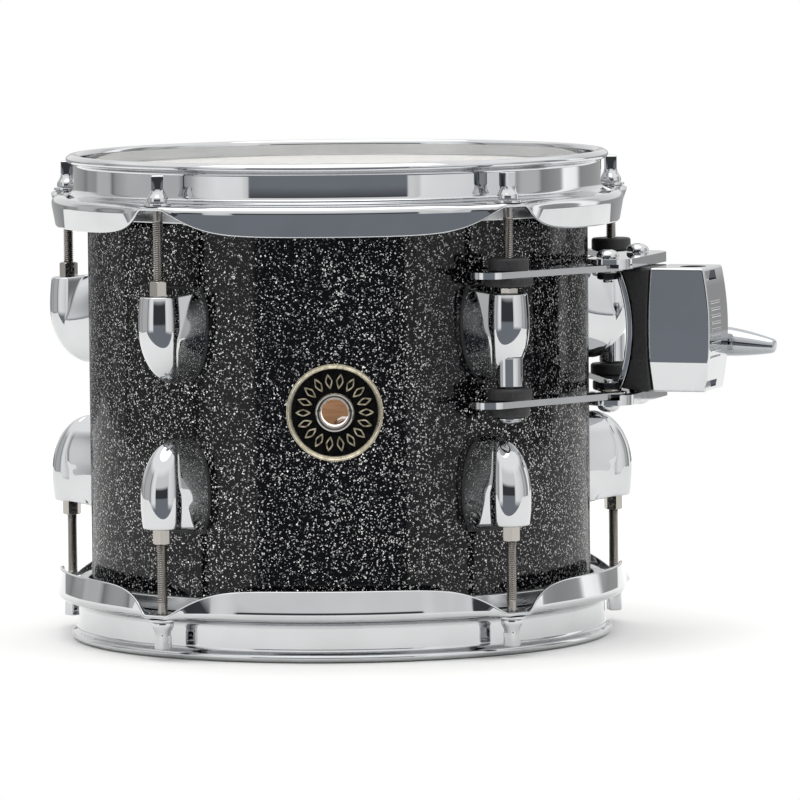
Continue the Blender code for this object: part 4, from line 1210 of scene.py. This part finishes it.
def make_mount():
    at_mount = {"angle": MOUNT_ANGLE, "height": MOUNT_Z}
    add_piece("visual_mount_bracket", bracket_mesh(), "chrome", **at_mount)
    add_piece("visual_mount_pad", pad_mesh(), "rubber", **at_mount)
    add_piece("visual_mount_block", block_mesh(), "chrome", **at_mount)
    at_clamp = {"angle": MOUNT_ANGLE, "radius": SOCKET_RADIUS_FROM_AXIS,
                "height": MOUNT_Z + CLAMP_Z}
    add_piece("visual_clamp_eyebolt", eyebolt_mesh(), "nickel", "clamp_eyebolt", **at_clamp)
    add_piece("visual_clamp_handle", handle_mesh(), "cast_chrome", "clamp_handle", **at_clamp)
    bolt, stud, cap_nut = bolt_mesh(), stud_mesh(), cap_nut_mesh()
    nut_top = ARM_INNER_FACE - GAP
    nut_seat = nut_top - ARM_WASHER_THICKNESS
    arm_nut = nut_mesh("arm_nut", nut_top - BOLT_NUT_HEIGHT, nut_seat, BOLT_NUT_ACROSS_FLATS,
                       BOLT_SHANK_RADIUS)
    ring = evenly_rounded(rectangle(2.6, 5.4, nut_seat, nut_top), 0.2)
    arm_washer = turned("arm_washer", ring, 64)
    bolt_seat = ARM_INNER_FACE + ARM_THICKNESS + 2 * GAP + FLANGE_THICKNESS
    for end, station in MOUNT_STATIONS.items():
        side = BOLT_OFFSET if end == "rear" else -BOLT_OFFSET
        at_bolt = {"angle": MOUNT_ANGLE + degrees(atan2(side, BOLT_RADIUS_FROM_AXIS)),
                   "radius": hypot(side, BOLT_RADIUS_FROM_AXIS)}
        at_rod = {"angle": station, "radius": ROD_CIRCLE}
        for level, level_name in ((1, "upper"), (-1, "lower")):
            label = f"{level_name}_{end}"
            under = level < 0
            add_piece(f"visual_arm_{label}", arm_mesh(station, level), "chrome", **at_mount)
            add_piece(f"visual_arm_bolt_{label}", bolt, "chrome", height=MOUNT_Z + level * bolt_seat,
                      upside_down=under, **at_bolt)
            for name, mesh, finish in (("nut", arm_nut, "black_oxide"),
                                       ("washer", arm_washer, "nickel")):
                add_piece(f"arm_{name}_{label}", mesh, finish, height=MOUNT_Z,
                          upside_down=under, **at_bolt)
            grommet = grommet_mesh(level, GROMMET_SIZES[level_name])
            add_piece(f"visual_grommet_{label}", grommet, "rubber", height=MOUNT_Z, **at_rod)
        add_piece(f"visual_suspension_stud_{end}", stud, "chrome", **at_rod)
        add_piece(f"cap_nut_{end}", cap_nut, "chrome", height=CAP_NUT_TOP, **at_rod)


# Studio ------------------------------------------------------------------------------------

def make_camera():
    azimuth, elevation, roll = (radians(turn) for turn in (
        CAMERA_AZIMUTH, CAMERA_ELEVATION, CAMERA_ROLL))
    back = Vector((sin(azimuth) * cos(elevation), -cos(azimuth) * cos(elevation), sin(elevation)))
    side = (-back).cross(UP).normalized()
    upright = side.cross(-back)
    across = cos(roll) * side + sin(roll) * upright
    above = -sin(roll) * side + cos(roll) * upright
    camera = new_object("camera", bpy.data.cameras.new("camera"))
    pose = Matrix((across, above, back)).transposed().to_4x4()
    target = Vector((0.0, 0.0, CAMERA_HEIGHT)) + side * CAMERA_SIDE
    pose.translation = target + back * CAMERA_DISTANCE
    camera.matrix_world = pose
    camera.data.sensor_width = CAMERA_SENSOR
    camera.data.lens = CAMERA_LENS
    bpy.context.scene.camera = camera


def make_floor():
    outline = rectangle(-FLOOR_SIDE, FLOOR_SIDE, -FLOOR_FRONT, FLOOR_REACH)
    mesh = bpy.data.meshes.new("floor")
    mesh.from_pydata(lifted(outline, FLOOR_Z * MM), [], [(0, 1, 2, 3)])
    material, tree, shader = new_finish("studio_floor", (0.93, 0.93, 0.92), 0.0, 0.85)
    tint(tree, shader, share_of(tree, noise(tree, 3, 2.0)), (0.92, 0.92, 0.91), (0.94, 0.94, 0.93))
    mesh.materials.append(material)
    floor = new_object("floor", mesh)


def wall_colour(tree, azimuth):
    """The walls' brightness by azimuth; a colour ramp holds half of it, because it stops at 1."""
    walls = add_node(tree, "ValToRGB", {"Fac": share_of(tree, azimuth, -pi, pi)})
    ramp = walls.color_ramp
    ramp.elements.remove(ramp.elements[1])
    for index, (angle, level) in enumerate(WALL_STOPS):
        position = (angle + 180) / 360
        stop = ramp.elements[0] if index == 0 else ramp.elements.new(position)
        stop.position = position
        stop.color = (level / 2, level / 2, level / 2, 1.0)
    halved = {0: walls.outputs["Color"], "Scale": 2.0}
    return add_node(tree, "VectorMath", halved, operation="SCALE").outputs["Vector"]


def make_world():
    """White and grey walls, dark behind the camera, a pale ceiling and a white backdrop."""
    world = bpy.data.worlds.new("studio")
    bpy.context.scene.world = world
    world.use_nodes = True
    tree = world.node_tree
    direction = add_node(tree, "TexCoord").outputs["Generated"]
    x, y, height = add_node(tree, "SeparateXYZ", {"Vector": direction}).outputs
    azimuth = calculated(tree, "ARCTAN2", x, calculated(tree, "MULTIPLY", y, -1.0))
    beside = calculated(tree, "ABSOLUTE", calculated(tree, "SUBTRACT", azimuth, FRONT_MIDDLE))
    in_front = spread(tree, beside, 1.0, 0.0, FRONT_HALF_WIDTH, FRONT_HALF_WIDTH + FRONT_BLEND)
    front = mixed(tree, share_of(tree, height, *FRONT_FOOT), FRONT_DARK, BELOW)
    front = mixed(tree, share_of(tree, height, *FRONT_TOP), front, PANEL)
    light = mixed(tree, in_front, wall_colour(tree, azimuth), front)
    behind = calculated(tree, "MULTIPLY", share_of(tree, y, *BACKDROP_SIDE),
                        share_of(tree, height, *BACKDROP_FOOT))
    light = mixed(tree, behind, light, PANEL)
    light = mixed(tree, share_of(tree, height, *CEILING_EDGE), light, CEILING)
    light = mixed(tree, share_of(tree, height, *BELOW_EDGE), light, BELOW)
    rays = add_node(tree, "LightPath")
    seen = mixed(tree, rays.outputs["Is Camera Ray"], light, (1.0, 1.0, 1.0))
    feed(tree, tree.nodes["Background"].inputs["Color"], seen)


def add_lamp(name, kind, energy, location, **settings):
    """A light that the camera doesn't see."""
    light = bpy.data.lights.new(name, kind)
    light.energy = energy
    for setting, value in settings.items():
        setattr(light, setting, value)
    lamp = new_object(name, light)
    lamp.location = location
    lamp.visible_camera = False
    return lamp


def make_lights():
    """A large soft light overhead, and a faint one for what the heads let into the shell."""
    overhead = add_lamp("overhead", "AREA", OVERHEAD_POWER, OVERHEAD_PLACE,
                        shape="DISK", size=OVERHEAD_SIZE)
    aim = Vector(OVERHEAD_AIM) - overhead.location
    overhead.rotation_euler = aim.to_track_quat("-Z", "Y").to_euler()
    add_lamp("inside", "POINT", INSIDE_POWER, (0.0, 0.0, MID_Z * MM), shadow_soft_size=0.03)


make_camera()
make_floor()
make_world()
make_lights()
bpy.context.scene.view_settings.view_transform = "Standard"
make_shell()
make_heads()
make_hoops()
make_tension_hardware()
make_badge()
make_vent_grommet()
make_mount()
